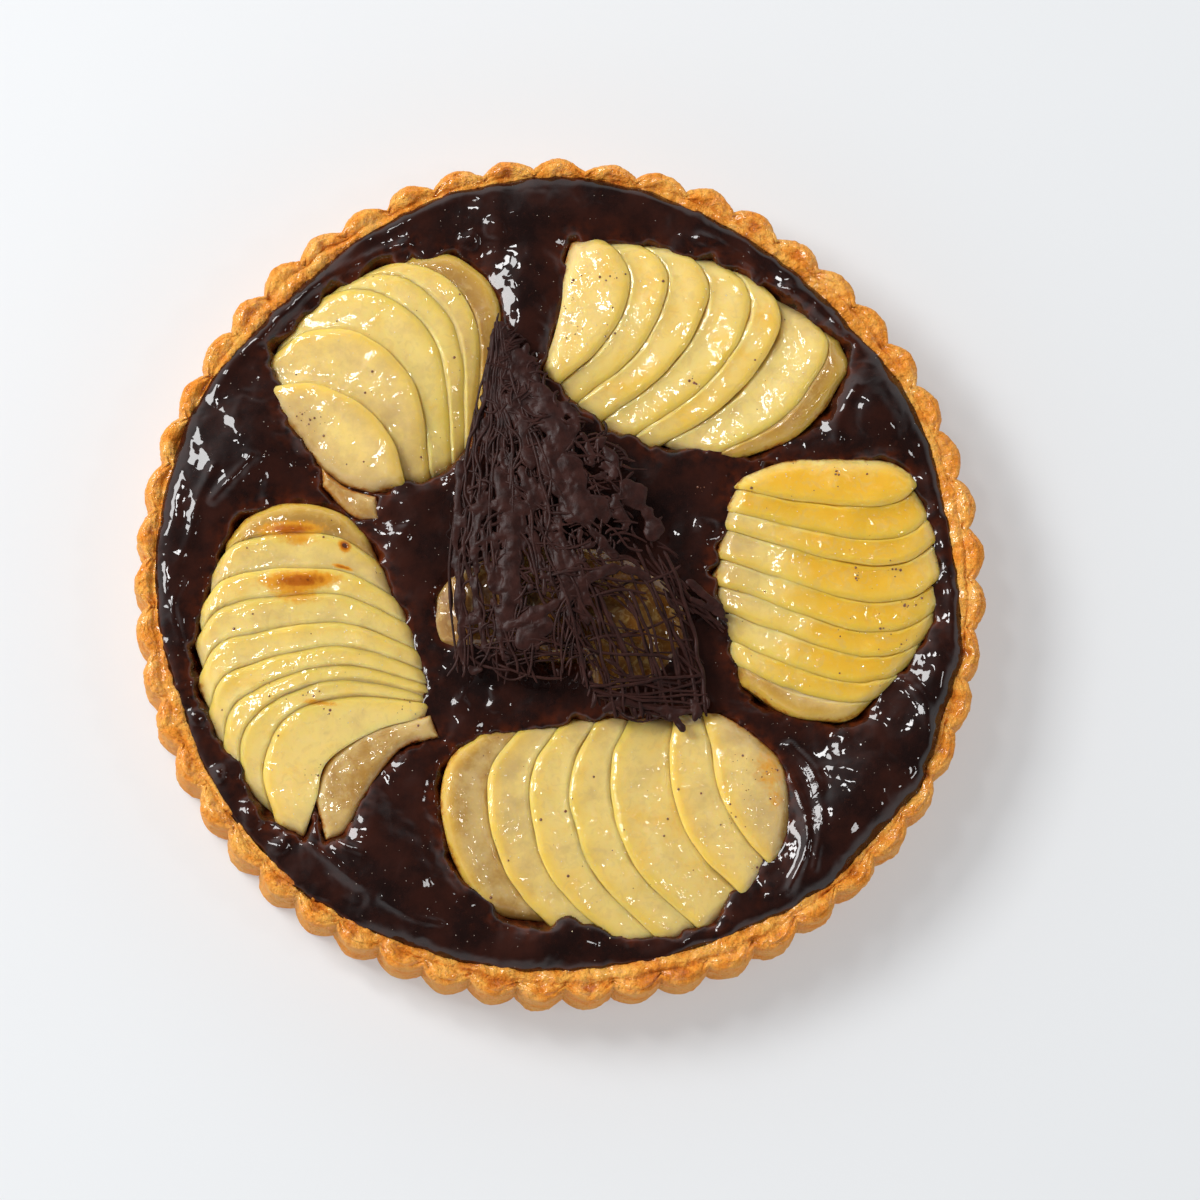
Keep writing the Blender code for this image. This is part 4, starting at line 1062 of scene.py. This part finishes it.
def makeFilling():
    size = filling
    unit, faces, rim = discGrid(size["cells"])
    angle = np.arctan2(unit[:, 1], unit[:, 0])
    turnPoint = onCircle(angle) * 100
    overlap = 0.35 + 0.5 * softNoise(turnPoint, 6.0, 15) + 0.35 * softNoise(turnPoint, 2.8, 16)
    edge = innerRadius(angle) + overlap
    spots = unit * edge[:, None]
    x, y = spots.T
    radius = np.hypot(x, y)
    near = np.clip(1 - (edge - radius) / 5.0, 0, 1)
    ripple = 0.35 * np.sin(x / 6 + 1) * np.cos(y / 7) + 0.2 * np.sin((x + y) / 3.7)
    shape = moundHeight(spots) + ripple + 0.55 * softNoise(spots, 13.0, 10) + 0.3 * softNoise(spots, 7.0, 11)
    shape += 0.13 * softNoise(spots, 3.2, 12)
    for width, height, line in folds:
        gap = distanceTo(spots, through(line, 40))
        uneven = 0.8 + 0.4 * softNoise(spots, 8.0, 13)
        shape += size["foldGain"] * height * bell(gap, 0, width) * uneven
    for lumpX, lumpY, reach, height in lumps:
        away = np.hypot(x - lumpX, y - lumpY) * (1 + 0.5 * softNoise(spots, 2.4, 14))
        shape += height * np.clip(1 - (away / reach) ** 2, 0, 1) ** 0.8
    height = size["level"] + shape * (1 - 0.75 * near ** 2)
    crustTop = rimHeight(angle) - 0.9 + 0.25 * np.clip(overlap, 0, 2)
    height += (crustTop - 0.05 - height) * near ** 4
    bead = 0.55 + 0.45 * softNoise(turnPoint, 22.0, 18) + 0.3 * softNoise(turnPoint, 7.0, 19)
    bead *= 0.35 + 0.65 * smooth(np.cos(angle - math.radians(60)), -0.4, 0.5)
    height += size["bead"] * bead * bell(edge - radius, size["beadInset"], size["beadWidth"])
    # the pears lie in hollows, with the chocolate rounding down to them
    inner = np.full(len(spots), -50.0)
    for border in fanBorders:
        inner = np.maximum(inner, depthInside(spots, border))
    pearDepth = depthInside(spots, centreBorder) - size["pearSink"]
    pearDepth += 3.5 * smooth(-x, 24, 30) - 3.0 * smooth(y, -12, 4)
    pearDepth -= 4.0 * smooth(-y, 16, 22) * smooth(-x, 4, 12) + 5.0 * smooth(-y, 19, 23) * smooth(-x, -10, -5)
    inner = np.maximum(inner, pearDepth)
    ragged = 1.9 * roughNoise(spots, 9.0, 17, 5) + 0.7 * softNoise(spots, 2.0, 24) * (pearDepth <= -6)
    ragged += 1.6 * bell(x, -92, 12) * bell(y, -28, 26)
    stray = 1 + 0.3 * softNoise(spots, 3.0, 20)
    for lapX, lapY, reach, strength in [(*lap, size["lapStrength"]) for lap in laps] + scallops:
        ragged -= strength * bell(np.hypot(x - lapX, y - lapY) * stray, 0, reach)
    inner += ragged
    height -= size["hollow"] * smooth(inner, *size["hollowEdge"]) + 0.5 * smooth(inner, -4.0, 0.5)
    thin = np.exp(-np.clip(-inner, 0, 50) / size["thinReach"]) + 0.7 * smooth(near, 0.75, 1.0)
    points = np.column_stack([spots, height])
    rimPoints = points[rim]
    wall = []
    for drop, inset in ((0.35, 0.9), (1.2, 1.6)):
        ring = rimPoints.copy()
        ring[:, :2] *= (1 - inset / edge[rim])[:, None]
        ring[:, 2] -= drop
        wall.append(ring)
    foot = innerRadius(angle[rim]) - crust["draft"] - size["gap"]
    wall.append(np.column_stack([onCircle(angle[rim]) * foot[:, None], np.full(len(rim), size["floor"])]))
    points = addWall(points, faces, rim, wall, [0, 0, size["floor"]])
    layers = {"thin": np.concatenate([np.clip(thin, 0, 1), np.zeros(len(points) - len(thin))])}
    piece = makeMesh("chocolateFilling", points, faces, chocolateMaterial, layers)
    settle(piece, "chocolate_filling", slot="glazed_chocolate")


makeFilling()
print("filling made")


# chocolate net

net = {"rest": 31.1, "thickness": 1.1, "crown": 4.6, "seed": 11, "sides": 7, "clotSides": 12, "voxel": 0.27}
netLeft = through(((-17.5, 66.5), (-20.5, 50.5), (-24.0, 31.0), (-28.0, 2.0), (-25.5, -26.0)), 101)
netRight = through(((-13.0, 64.0), (-8.0, 55.0), (-3.0, 47.0), (4.5, 41.5), (12.5, 35.0), (19.5, 24.0),
                    (25.5, 10.0), (34.0, -10.0), (38.0, -36.0)), 101)
netBottom = through(((-25.5, -26.0), (-10.5, -27.5), (5.0, -29.0), (11.0, -37.5), (24.0, -39.0),
                     (38.0, -36.0)), 101)

# clotted chocolate on the net: half width, then its line
drizzles = (
    (1.1, ((-16.5, 66.0), (-15.0, 60.5), (-14.0, 56.0), (-12.5, 51.0))),
    (0.7, ((-18.5, 58.5), (-17.5, 53.5), (-14.5, 48.0))),
    (2.2, ((-8.5, 49.0), (-5.5, 46.5), (-1.5, 42.5))),
    (1.4, ((-14.0, 53.5), (-10.5, 50.0), (-7.0, 46.5))),
    (1.6, ((-12.0, 44.5), (-10.5, 39.0), (-9.0, 32.5), (-8.0, 26.0))),
    (2.6, ((-4.0, 45.0), (-2.5, 39.0), (0.0, 31.0))),
    (3.8, ((0.0, 31.0), (2.0, 24.5), (4.5, 19.0))),
    (3.6, ((1.0, 21.5), (4.5, 16.0), (7.0, 13.0))),
    (2.2, ((7.0, 19.5), (9.5, 16.0), (11.0, 13.0))),
    (1.6, ((-4.5, 35.0), (-2.5, 27.0), (-1.5, 19.0))),
    (1.8, ((-16.5, 27.0), (-14.5, 20.5), (-13.5, 15.5))),
    (2.6, ((-13.0, 16.5), (-13.0, 9.0), (-14.0, 1.0), (-13.5, -7.0))),
    (1.9, ((-13.5, -5.5), (-15.0, -11.5), (-17.0, -13.5))),
    (1.6, ((-15.5, -13.5), (-11.0, -13.0), (-6.0, -10.5), (-0.5, -8.0))),
    (1.5, ((-0.5, -8.0), (4.0, -4.0), (8.0, -1.5), (14.5, 1.0))),
    (1.1, ((14.5, 1.0), (18.5, 0.0), (22.0, -2.5))),
    (2.0, ((-11.0, -20.0), (-9.5, -17.0), (-6.0, -15.0), (-2.5, -13.0))),
    (3.0, ((9.0, 34.5), (11.0, 33.0))),
    (1.3, ((11.0, 32.0), (12.5, 28.5), (14.5, 25.0))),
    (2.6, ((15.5, 24.5), (18.0, 21.0), (20.5, 17.5))),
    (2.2, ((20.5, 17.5), (23.0, 13.0), (23.5, 8.5))),
    (1.5, ((13.0, 19.5), (15.0, 15.0), (17.0, 11.5))),
    (1.4, ((-24.0, 16.0), (-18.5, 17.0), (-13.0, 17.5), (-5.5, 16.5))),
    (1.0, ((-22.0, 7.0), (-16.5, 9.0), (-11.0, 10.0))),
    (1.5, ((-25.5, -12.5), (-23.5, -12.0), (-21.5, -12.5))),
    (1.3, ((-24.0, -24.5), (-22.5, -25.5), (-20.5, -25.0))),
    (0.85, ((-27.0, 4.0), (-26.5, -6.5), (-26.0, -17.0), (-24.5, -24.0))),
    (0.75, ((-25.5, 30.0), (-27.0, 19.5), (-27.5, 7.5), (-28.0, 2.0))),
    (1.0, ((0.0, 42.5), (2.5, 41.0), (3.5, 38.0))),
    (0.9, ((1.0, 38.5), (3.0, 36.0), (1.5, 34.0))),
    (1.2, ((6.0, 11.5), (10.0, 7.5), (13.0, 3.5))),
    (0.9, ((10.0, -35.5), (17.5, -34.0), (26.5, -35.5), (36.0, -36.0))),
    (0.8, ((26.5, -36.0), (29.5, -38.0), (31.5, -40.5))),
    (0.9, ((33.0, -32.0), (35.0, -35.0), (34.5, -38.5))),
    (1.1, ((-11.0, 27.0), (-9.0, 22.0), (-8.0, 16.0))),
    (0.75, ((31.5, -2.0), (37.0, -5.5), (42.0, -10.0))),
    (0.7, ((33.0, -6.0), (38.0, -9.0), (42.5, -12.5))),
)


def netHeight(spots):
    x, y = spots[..., 0], spots[..., 1]
    arch = 1 - ((x - 3) / 38) ** 2 - ((y - 6) / 50) ** 2
    wave = 0.5 * np.sin(x / 5) * np.sin(y / 8 + 0.6)
    return net["rest"] + net["thickness"] / 2 + (net["crown"] + wave) * np.clip(arch, 0, 1)


def netSpot(across, down):  # from its left to its right side, and down from its tip
    place = np.clip(down, 0, 1) * 100
    rows = np.arange(101)
    left = np.column_stack([np.interp(place, rows, netLeft[:, k]) for k in range(2)])
    right = np.column_stack([np.interp(place, rows, netRight[:, k]) for k in range(2)])
    low = np.column_stack([np.interp(np.clip(across, 0, 1) * 100, rows, netBottom[:, k]) for k in range(2)])
    straight = netBottom[0] + (netBottom[-1] - netBottom[0]) * np.clip(across, 0, 1)[:, None]
    return left + (right - left) * across[:, None] + (low - straight) * (np.clip(down, 0, 1) ** 3)[:, None]


def oneSpot(across, down):
    return netSpot(np.array([across]), np.array([down]))[0]


def heading(turn):
    return np.array([math.cos(turn), math.sin(turn)])


def threadTree():
    tree, given, made = newGeometryTree("pipedThreads", Sides="Int")
    curve = add(tree, "GeometryNodeMeshToCurve", {"Mesh": given["Geometry"]})
    ring = add(tree, "GeometryNodeCurvePrimitiveCircle", {"Resolution": given["Sides"], "Radius": 1.0})
    tube = add(tree, "GeometryNodeCurveToMesh",
               {"Curve": curve, "Profile Curve": ring, "Scale": field(tree, "width"), "Fill Caps": True})
    return finishTree(tree, tube, given, made)


def lineNoise(line, lane, size, seed):  # noise along a line, different in each lane
    return softNoise(np.column_stack([line, np.full(len(line), lane)]), size, seed)


class Threads:  # gathers the lines of the threads and their widths, drawn in a fixed order
    def __init__(self, seed):
        self.chance = np.random.default_rng(seed)
        self.paths = []

    def wander(self, start, end, bow, wobble, width, lift=None):
        length = np.linalg.norm(end - start)
        count = max(5, int(length / 1.1))
        share = np.linspace(0, 1, count)
        step = (end - start) / max(length, 1e-6)
        side = np.array([-step[1], step[0]])
        bend = bow * np.sin(math.pi * share)
        shake = wobble * lineNoise(share * length, self.chance.uniform(0, 999), 5.0, 51)
        spots = start + (end - start) * share[:, None] + side * (bend + shake)[:, None]
        self.follow(spots, width, lift)

    def follow(self, spots, width, lift=None):
        chance = self.chance
        lift = chance.uniform(-0.6, 0.7) if lift is None else lift
        seed = chance.uniform(0, 999)
        line = np.arange(len(spots)) * 1.1
        height = netHeight(spots) + lift + 0.35 * lineNoise(line, seed, 6.0, 52)
        thick = width * chance.uniform(0.8, 1.25)
        thick = thick * (1 + 0.25 * lineNoise(line, seed + 9, 3.0, 53))
        ends = np.minimum(np.arange(len(spots)), np.arange(len(spots))[::-1])
        thick = thick * np.where(ends < 1, 0.55, 1.0)
        self.paths.append((np.column_stack([spots, height]), thick))


def leftThreads(threads, chance):
    # long threads that fan out from the tip down the left half
    for k in range(46):
        lane = 0.5 * (k + chance.uniform(-0.4, 0.4)) / 45
        top = chance.uniform(0.0, 0.08) if k % 3 else chance.uniform(0.1, 0.6)
        low = min(1.0, top + chance.uniform(0.4, 1.0))
        down = np.linspace(top, low, max(8, int((low - top) * 85)))
        drift = chance.uniform(-0.16, 0.16) * (down - top)
        drift = drift + 0.07 * lineNoise(down * 92, k * 7.0, 8.0, 54)
        threads.follow(netSpot(np.clip(lane + drift, -0.02, 0.6), down), 0.4)
    # short threads across them, which leave small cells
    for k in range(300):
        down = chance.uniform(0.06, 0.98)
        lane = chance.uniform(0.0, 0.5)
        spot = oneSpot(lane, down)
        turn = chance.choice((-0.7, 0.15, 0.85)) + chance.normal(0.0, 0.35)
        end = spot + chance.uniform(2.5, 8.0) * heading(turn)
        threads.wander(spot, end, chance.uniform(-1.5, 1.5), 0.6, width=0.33)


def rightThreads(threads, chance):
    # a fine open mesh at the lower right, steep threads then flatter ones
    for k in range(19):
        share = (k + chance.uniform(-0.4, 0.4)) / 18
        start = np.array([-2.0 + 28.0 * share, -5.0 + 12.0 * share + chance.uniform(-4, 4)])
        end = np.array([10.5 + 27.5 * share + chance.uniform(-2.0, 2.0), -36.0 + chance.uniform(-2.0, 2.5)])
        if chance.random() < 0.35:
            start = start + (end - start) * chance.uniform(0.1, 0.45)
        threads.wander(start, end, chance.uniform(0.5, 3.4), 0.8, width=chance.uniform(0.34, 0.52))
    for k in range(19):
        share = (k + chance.uniform(-0.6, 0.6)) / 18
        start = np.array([-3.0 + 13.0 * share + chance.uniform(-2, 8), 3.0 - 37.0 * share])
        end = np.array([30.0 + 8.0 * share + chance.uniform(-14, 1),
                        -2.0 - 33.0 * share + chance.uniform(-7, 6)])
        threads.wander(start, end, chance.uniform(-4.5, 1.5), 1.2, width=chance.uniform(0.28, 0.42))


def pearThreads(threads, chance):
    # the lower left, where flat threads lie over the pear
    for k in range(30):
        start = np.array([chance.uniform(-26, -12), chance.uniform(-26, -4)])
        end = start + np.array([chance.uniform(6, 22), chance.uniform(-7, 6)])
        threads.wander(start, end, chance.uniform(-2.5, 2.5), 0.9, width=0.33)
    for k in range(40):
        start = np.array([chance.uniform(-26, 4), chance.uniform(-15, -6)])
        end = start + np.array([chance.uniform(-4, 6), chance.uniform(-17, -8)])
        end[1] = max(end[1], -29.0)
        threads.wander(start, end, chance.uniform(-1.5, 1.5), 0.8, width=0.34)
    # the middle, open with a few loose threads
    for k in range(90):
        start = np.array([chance.uniform(-10, 14), chance.uniform(-4, 36)])
        turn = chance.uniform(-1.5, 0.3)
        end = start + chance.uniform(4, 12) * heading(turn)
        threads.wander(start, end, chance.uniform(-2, 2), 0.8, width=0.32)


def edgeThreads(threads, chance):
    # curly ends along the upper right side
    for k in range(150):
        down = chance.uniform(0.12, 0.76)
        spot = oneSpot(chance.uniform(0.6, 0.97), down)
        turn = chance.uniform(0, math.tau)
        curl = chance.uniform(-0.4, 0.4)
        spots = [spot]
        for step in range(int(chance.uniform(3, 7))):
            turn += curl + chance.uniform(-0.3, 0.3)
            spots.append(spots[-1] + 0.8 * heading(turn))
        threads.follow(np.array(spots), 0.36)
    # the right side below them, with ends that stick out
    for k in range(26):
        share = (k + chance.uniform(-0.3, 0.3)) / 25
        start = np.array([24.0 + 8.0 * share, 8.0 - 38.0 * share])
        end = start + np.array([chance.uniform(2.0, 8.0), chance.uniform(-8.0, -2.0)])
        threads.wander(start, end, chance.uniform(-1, 1), 0.6, width=0.34)
    # the band along the lower edge, and the loose cluster at the right
    for k in range(9):
        start = oneSpot(0.44 + chance.uniform(0, 0.1), 0.985)
        end = oneSpot(1.0, chance.uniform(0.95, 1.0))
        threads.wander(start, end, chance.uniform(-3.0, -0.5), 0.8, width=0.36)
    for k in range(7):
        start = np.array([chance.uniform(19, 26), chance.uniform(-5, 6)])
        end = np.array([chance.uniform(38, 43), chance.uniform(-15.5, -9.5)])
        threads.wander(start, end, chance.uniform(-1, 1), 0.7, lift=-0.5, width=0.36)
    for k in range(16):  # stubs below the lower edge
        spot = oneSpot(chance.uniform(0.0, 1.0), 0.98)
        end = spot + np.array([chance.uniform(-1, 1.5), -chance.uniform(1.5, 3.5)])
        threads.wander(spot, end, 0.3, 0.3, width=0.4)


def makeThreads():
    threads = Threads(net["seed"])
    for addSome in (leftThreads, rightThreads, pearThreads, edgeThreads):
        addSome(threads, threads.chance)
    points, widths, edges = [], [], []
    for path, thick in threads.paths:
        first = len(points)
        points += path.tolist()
        widths += (thick * mm).tolist()
        edges += [(first + k, first + k + 1) for k in range(len(path) - 1)]
    piece = makePoints("netThreads", (np.array(points) * mm).tolist(), edges, "width", widths)
    grown(piece, threadTree(), {"Sides": net["sides"], "Material": netMaterial})
    settle(piece, "chocolate_net", slot="piped_chocolate")


def strokeLines():
    chance = np.random.default_rng(net["seed"] + 5)
    strokes = [(width, through(line, 24)) for width, line in drizzles]
    for k in range(90):  # clotted threads down the left half and in the middle
        lane, top = chance.uniform(0.02, 0.6), chance.uniform(0.02, 0.85)
        down = np.linspace(top, min(0.98, top + chance.uniform(0.04, 0.16)), 9)
        drift = lane + chance.uniform(-0.3, 0.3) * (down - top)
        strokes.append((chance.uniform(0.4, 0.85), netSpot(np.clip(drift, 0, 1), down)))
    for k in range(110):  # small webs between them
        lane, down = chance.uniform(0.02, 0.72), chance.uniform(0.06, 0.97)
        spot = oneSpot(lane, down)
        turn, reach = chance.normal(1.9, 0.5), chance.uniform(1.5, 5.0)
        way = heading(turn) * reach
        strokes.append((chance.uniform(0.4, 0.8), np.array([spot - way / 2, spot, spot + way / 2])))
    for k in range(60):  # clots along the upper right side
        down = chance.uniform(0.08, 0.72)
        spot = oneSpot(chance.uniform(0.6, 0.9), down)
        turn, reach = chance.normal(2.2, 0.6), chance.uniform(2.0, 6.0)
        way = heading(turn) * reach
        width, middle = chance.uniform(0.4, 0.9), spot + chance.normal(0, 0.5, 2)
        strokes.append((width, np.array([spot - way / 2, middle, spot + way / 2])))
    return strokes


def makeDrizzles():
    points, faces = [], []
    sides = net["clotSides"]
    for number, (width, line) in enumerate(strokeLines()):
        width = width * 1.08 + 0.12
        length = np.linalg.norm(np.diff(line, axis=0), axis=1).sum()
        count = max(6, int(length / 0.7))
        path = along(through(line, 40), np.linspace(0, 1, count))
        seed = np.full(count, number * 9.0)
        line = np.column_stack([np.linspace(0, length, count), seed])
        path += 0.5 * np.column_stack([softNoise(line, 5.0, 58), softNoise(line, 5.0, 59)])
        step = np.gradient(path, axis=0)
        step /= np.linalg.norm(step, axis=1, keepdims=True)
        side = np.column_stack([step[:, 1], -step[:, 0]])
        share = np.linspace(0, 1, count)
        taper = np.sqrt(np.clip(0.12 + np.minimum(share, 1 - share) * length / width, 0.02, 1))
        wide = width * taper * (1 + 0.32 * roughNoise(line, 5.0, 57, 2))
        tall = np.minimum(0.25 + wide * 0.22, 0.75)
        first = len(points)
        centre = np.column_stack([path, netHeight(path) + 0.3 + 0.25 * softNoise(path, 9.0, 60)])
        for k in range(count):
            for turn in np.arange(sides) * math.tau / sides:
                points.append(centre[k] + [*(side[k] * wide[k] * math.cos(turn)), tall[k] * math.sin(turn)])
        faces += [[first + v for v in quad] for quad in ringFaces(count, sides)]
        faces.append([first + v for v in range(sides)][::-1])
        faces.append([first + (count - 1) * sides + v for v in range(sides)])
    piece = makeMesh("netDrizzle", points, faces, netMaterial)
    melt = piece.modifiers.new("melt", "REMESH")
    melt.mode = "VOXEL"
    melt.voxel_size = net["voxel"] * mm
    soften = piece.modifiers.new("soften", "SMOOTH")
    soften.factor = 0.5
    soften.iterations = 3
    mesh = baked(piece)
    mesh.materials.clear()
    mesh.materials.append(netMaterial)
    flat = np.empty(len(mesh.vertices) * 3, np.float32)
    mesh.vertices.foreach_get("co", flat)
    spots = flat.reshape(-1, 3) / mm
    pull = [roughNoise(spots, 4.5, 64), roughNoise(spots, 4.5, 68), 0.35 * roughNoise(spots, 3.0, 72, 2)]
    pulled = spots + 0.75 * np.column_stack(pull)
    mesh.vertices.foreach_set("co", (pulled * mm).astype(np.float32).ravel())
    mesh.update()
    settle(piece, slot="piped_chocolate")


makeThreads()
makeDrizzles()
print("net made")


# bubbles in the glaze, coloured pale as painted glints, and browned specks

speckSpots = (
    (-64.0, -30.5), (-59.5, -35.5), (-41.0, -35.0), (5.0, 78.5), (13.5, 77.5), (2.5, 72.0), (4.0, 65.0),
    (47.5, -47.5), (55.0, -50.0), (48.0, -55.5), (43.5, -61.5), (74.0, -14.0), (83.0, -13.5), (71.0, 27.5),
    (76.0, -0.5), (85.5, 2.0), (89.5, -7.5), (89.0, -16.5), (-66.5, 42.0), (-66.0, 38.5), (-62.5, 39.0),
    (-63.0, -52.0), (-74.0, -30.0), (12.0, 62.0), (33.0, 51.0), (37.0, 23.5),
)


def dotTree():
    tree, given, made = newGeometryTree("scatteredDots", Roundness="Int", Flatness="Float")
    ball = add(tree, "GeometryNodeMeshIcoSphere", {"Radius": 1.0, "Subdivisions": given["Roundness"]})
    size = field(tree, "size")
    tall = times(tree, size, given["Flatness"])
    scale = add(tree, "ShaderNodeCombineXYZ", {0: size, 1: size, 2: tall})
    places = {"Points": given["Geometry"], "Instance": ball, "Scale": scale}
    balls = add(tree, "GeometryNodeInstanceOnPoints", places)
    return finishTree(tree, balls, given, made)


sunkShare = 0.3  # of each dot


def makeDots(name, spots, sizes, flatness, material, slot, surface):
    points, kept = [], []
    for (x, y), size in zip(spots, sizes):
        hit = surface.ray_cast(Vector((x * mm, y * mm, 0.1)), Vector((0, 0, -1)))[0]
        if hit is not None:
            points.append((hit.x, hit.y, hit.z + size * mm * flatness * (1 - 2 * sunkShare) * 0.5))
            kept.append(size * mm)
    piece = makePoints(name, points, [], "size", kept)
    grown(piece, dots, {"Roundness": 2, "Flatness": flatness, "Material": material})
    settle(piece, slot=slot)


def surfaceOf(names):
    points, faces = [], []
    for piece in bpy.context.scene.objects:
        if piece.type == "MESH" and any(name in piece.name for name in names):
            first = len(points)
            points += [v.co for v in piece.data.vertices]
            faces += [[first + v for v in face.vertices] for face in piece.data.polygons]
    return BVHTree.FromPolygons(points, faces)


def makeScattered():
    chance = np.random.default_rng(31)
    everything = surfaceOf(("slice_", "chocolateFilling"))
    borders = [border for border in fanBorders if len(border) > 20]

    def anywhere(count):
        angle = chance.uniform(0, math.tau, count)
        return onCircle(angle) * (np.sqrt(chance.uniform(0, 1, count)) * 102)[:, None]

    spots = anywhere(2600)
    onPear = np.max([depthInside(spots, border) for border in borders], axis=0) > 1.5
    overNet = np.hypot((spots[:, 0] - 2) / 30, (spots[:, 1] - 5) / 45) < 1
    pearSpots = spots[onPear & ~overNet][:520]
    darkSpots = spots[~onPear & ~overNet][:420]
    sizes = chance.uniform(0.08, 0.2, len(pearSpots))
    makeDots("glazeBubbles", pearSpots, sizes, 0.8, glintBubbleMaterial, "glazed_pear", everything)
    sizes = chance.uniform(0.07, 0.17, len(darkSpots))
    makeDots("chocolateBubbles", darkSpots, sizes, 0.8, darkGlintBubbleMaterial, "glazed_chocolate", everything)
    near = np.concatenate([np.array(speckSpots)] + [
        np.array(speckSpots) + chance.normal(0, 1.6, (len(speckSpots), 2)) for k in range(5)])
    stray = spots[onPear & ~overNet][520:640]
    specks = np.concatenate([near, stray])
    sizes = 0.1 + 0.3 * chance.random(len(specks)) ** 2.5
    makeDots("brownSpecks", specks, sizes, 0.5, speckMaterial, "glazed_pear", everything)


def makeDotMaterial(name, dark, pale, roughness):
    material, tree, shader, place = newMaterial(name)
    colour = mixed(tree, speckled(tree, place, 700.0, 2.0), dark, pale)
    dress(tree, shader, Base_Color=colour, Roughness=roughness, Coat_Weight=1.0, Coat_Roughness=0.05)
    return material


dots = dotTree()
# The bubble dots are coloured paler than the surface they sit on: a painted glint on each clear glaze bubble.
glintBubbleMaterial = makeDotMaterial("glazeBubble", (0.78, 0.60, 0.30), (0.92, 0.84, 0.62), 0.2)
darkGlintBubbleMaterial = makeDotMaterial("darkBubble", (0.10, 0.06, 0.045), (0.34, 0.26, 0.20), 0.3)
speckMaterial = makeDotMaterial("brownSpeck", (0.06, 0.014, 0.004), (0.24, 0.065, 0.012), 0.5)
makeScattered()
print("bubbles and specks made")


# floor, light and camera

def makeStage():
    side = 1.5
    mesh = bpy.data.meshes.new("floor")
    corners = [(-side, -side, 0), (side, -side, 0), (side, side, 0), (-side, side, 0)]
    mesh.from_pydata(corners, [], [(0, 1, 2, 3)])
    mesh.materials.append(makeFloorMaterial())
    put("floor", mesh)


def addLight(name, place, width, height, energy):  # a panel that faces the origin
    data = bpy.data.lights.new(name, "AREA")
    data.shape = "RECTANGLE"
    data.size = width
    data.size_y = height
    data.energy = energy
    lamp = put(name, data)
    lamp.location = place
    lamp.rotation_euler = (-Vector(place)).to_track_quat("-Z", "Y").to_euler()


# place in metres, width, height, power
lights = {
    "key": ((-0.98, 0.5, 1.2), 0.56, 0.56, 18.5),
    "spark": ((-0.42, 0.42, 1.35), 0.12, 0.2, 2.2),
    "glint": ((0.70, -0.12, 1.25), 0.14, 0.14, 0.9),
}


# tilt from straight above and its direction in degrees, then metres: the target's height and its shift
# to the right and up, and the width of the view there
camera = {"tilt": 8, "turn": 252, "distance": 1.5, "height": 0.027, "shift": (0.0099, -0.0062),
          "width": 0.3098}


def makeCamera():
    tilt, turn, distance = math.radians(camera["tilt"]), math.radians(camera["turn"]), camera["distance"]
    back = Vector((math.sin(tilt) * math.cos(turn), math.sin(tilt) * math.sin(turn), math.cos(tilt)))
    right = Vector((0, 1, 0)).cross(back).normalized()
    up = back.cross(right)
    target = Vector((0, 0, camera["height"])) + right * camera["shift"][0] + up * camera["shift"][1]
    data = bpy.data.cameras.new("camera")
    data.sensor_width = 36
    data.lens = data.sensor_width * distance / camera["width"]
    data.clip_start = 0.05
    eye = put("camera", data)
    turned = Matrix((right, up, back)).transposed()
    eye.matrix_world = Matrix.Translation(target + back * distance) @ turned.to_4x4()
    bpy.context.scene.camera = eye


def makeLight():
    world = bpy.data.worlds.new("studio")
    world.use_nodes = True
    tree = world.node_tree
    way = add(tree, "ShaderNodeTexCoord", output=0)
    height = add(tree, "ShaderNodeSeparateXYZ", {0: way}, 2)
    side = add(tree, "ShaderNodeVectorMath", {0: way, 1: (-0.82, 0.50, 0.28)}, 1, operation="DOT_PRODUCT")
    low = ramp(tree, height, 0.85, 0.35, 0.035, 1.0)
    bright = plus(tree, low, ramp(tree, side, 0.35, 0.95, 0.0, 0.4))
    dress(tree, tree.nodes["Background"], Color=(0.96, 0.98, 1.0), Strength=bright)
    bpy.context.scene.world = world
    for name, (place, width, height, energy) in lights.items():
        addLight(name, place, width, height, energy)


makeStage()
makeCamera()
makeLight()
view = bpy.context.scene.view_settings
view.view_transform = "Standard"
view.look = "None"
view.exposure = 0.0
print("stage made")
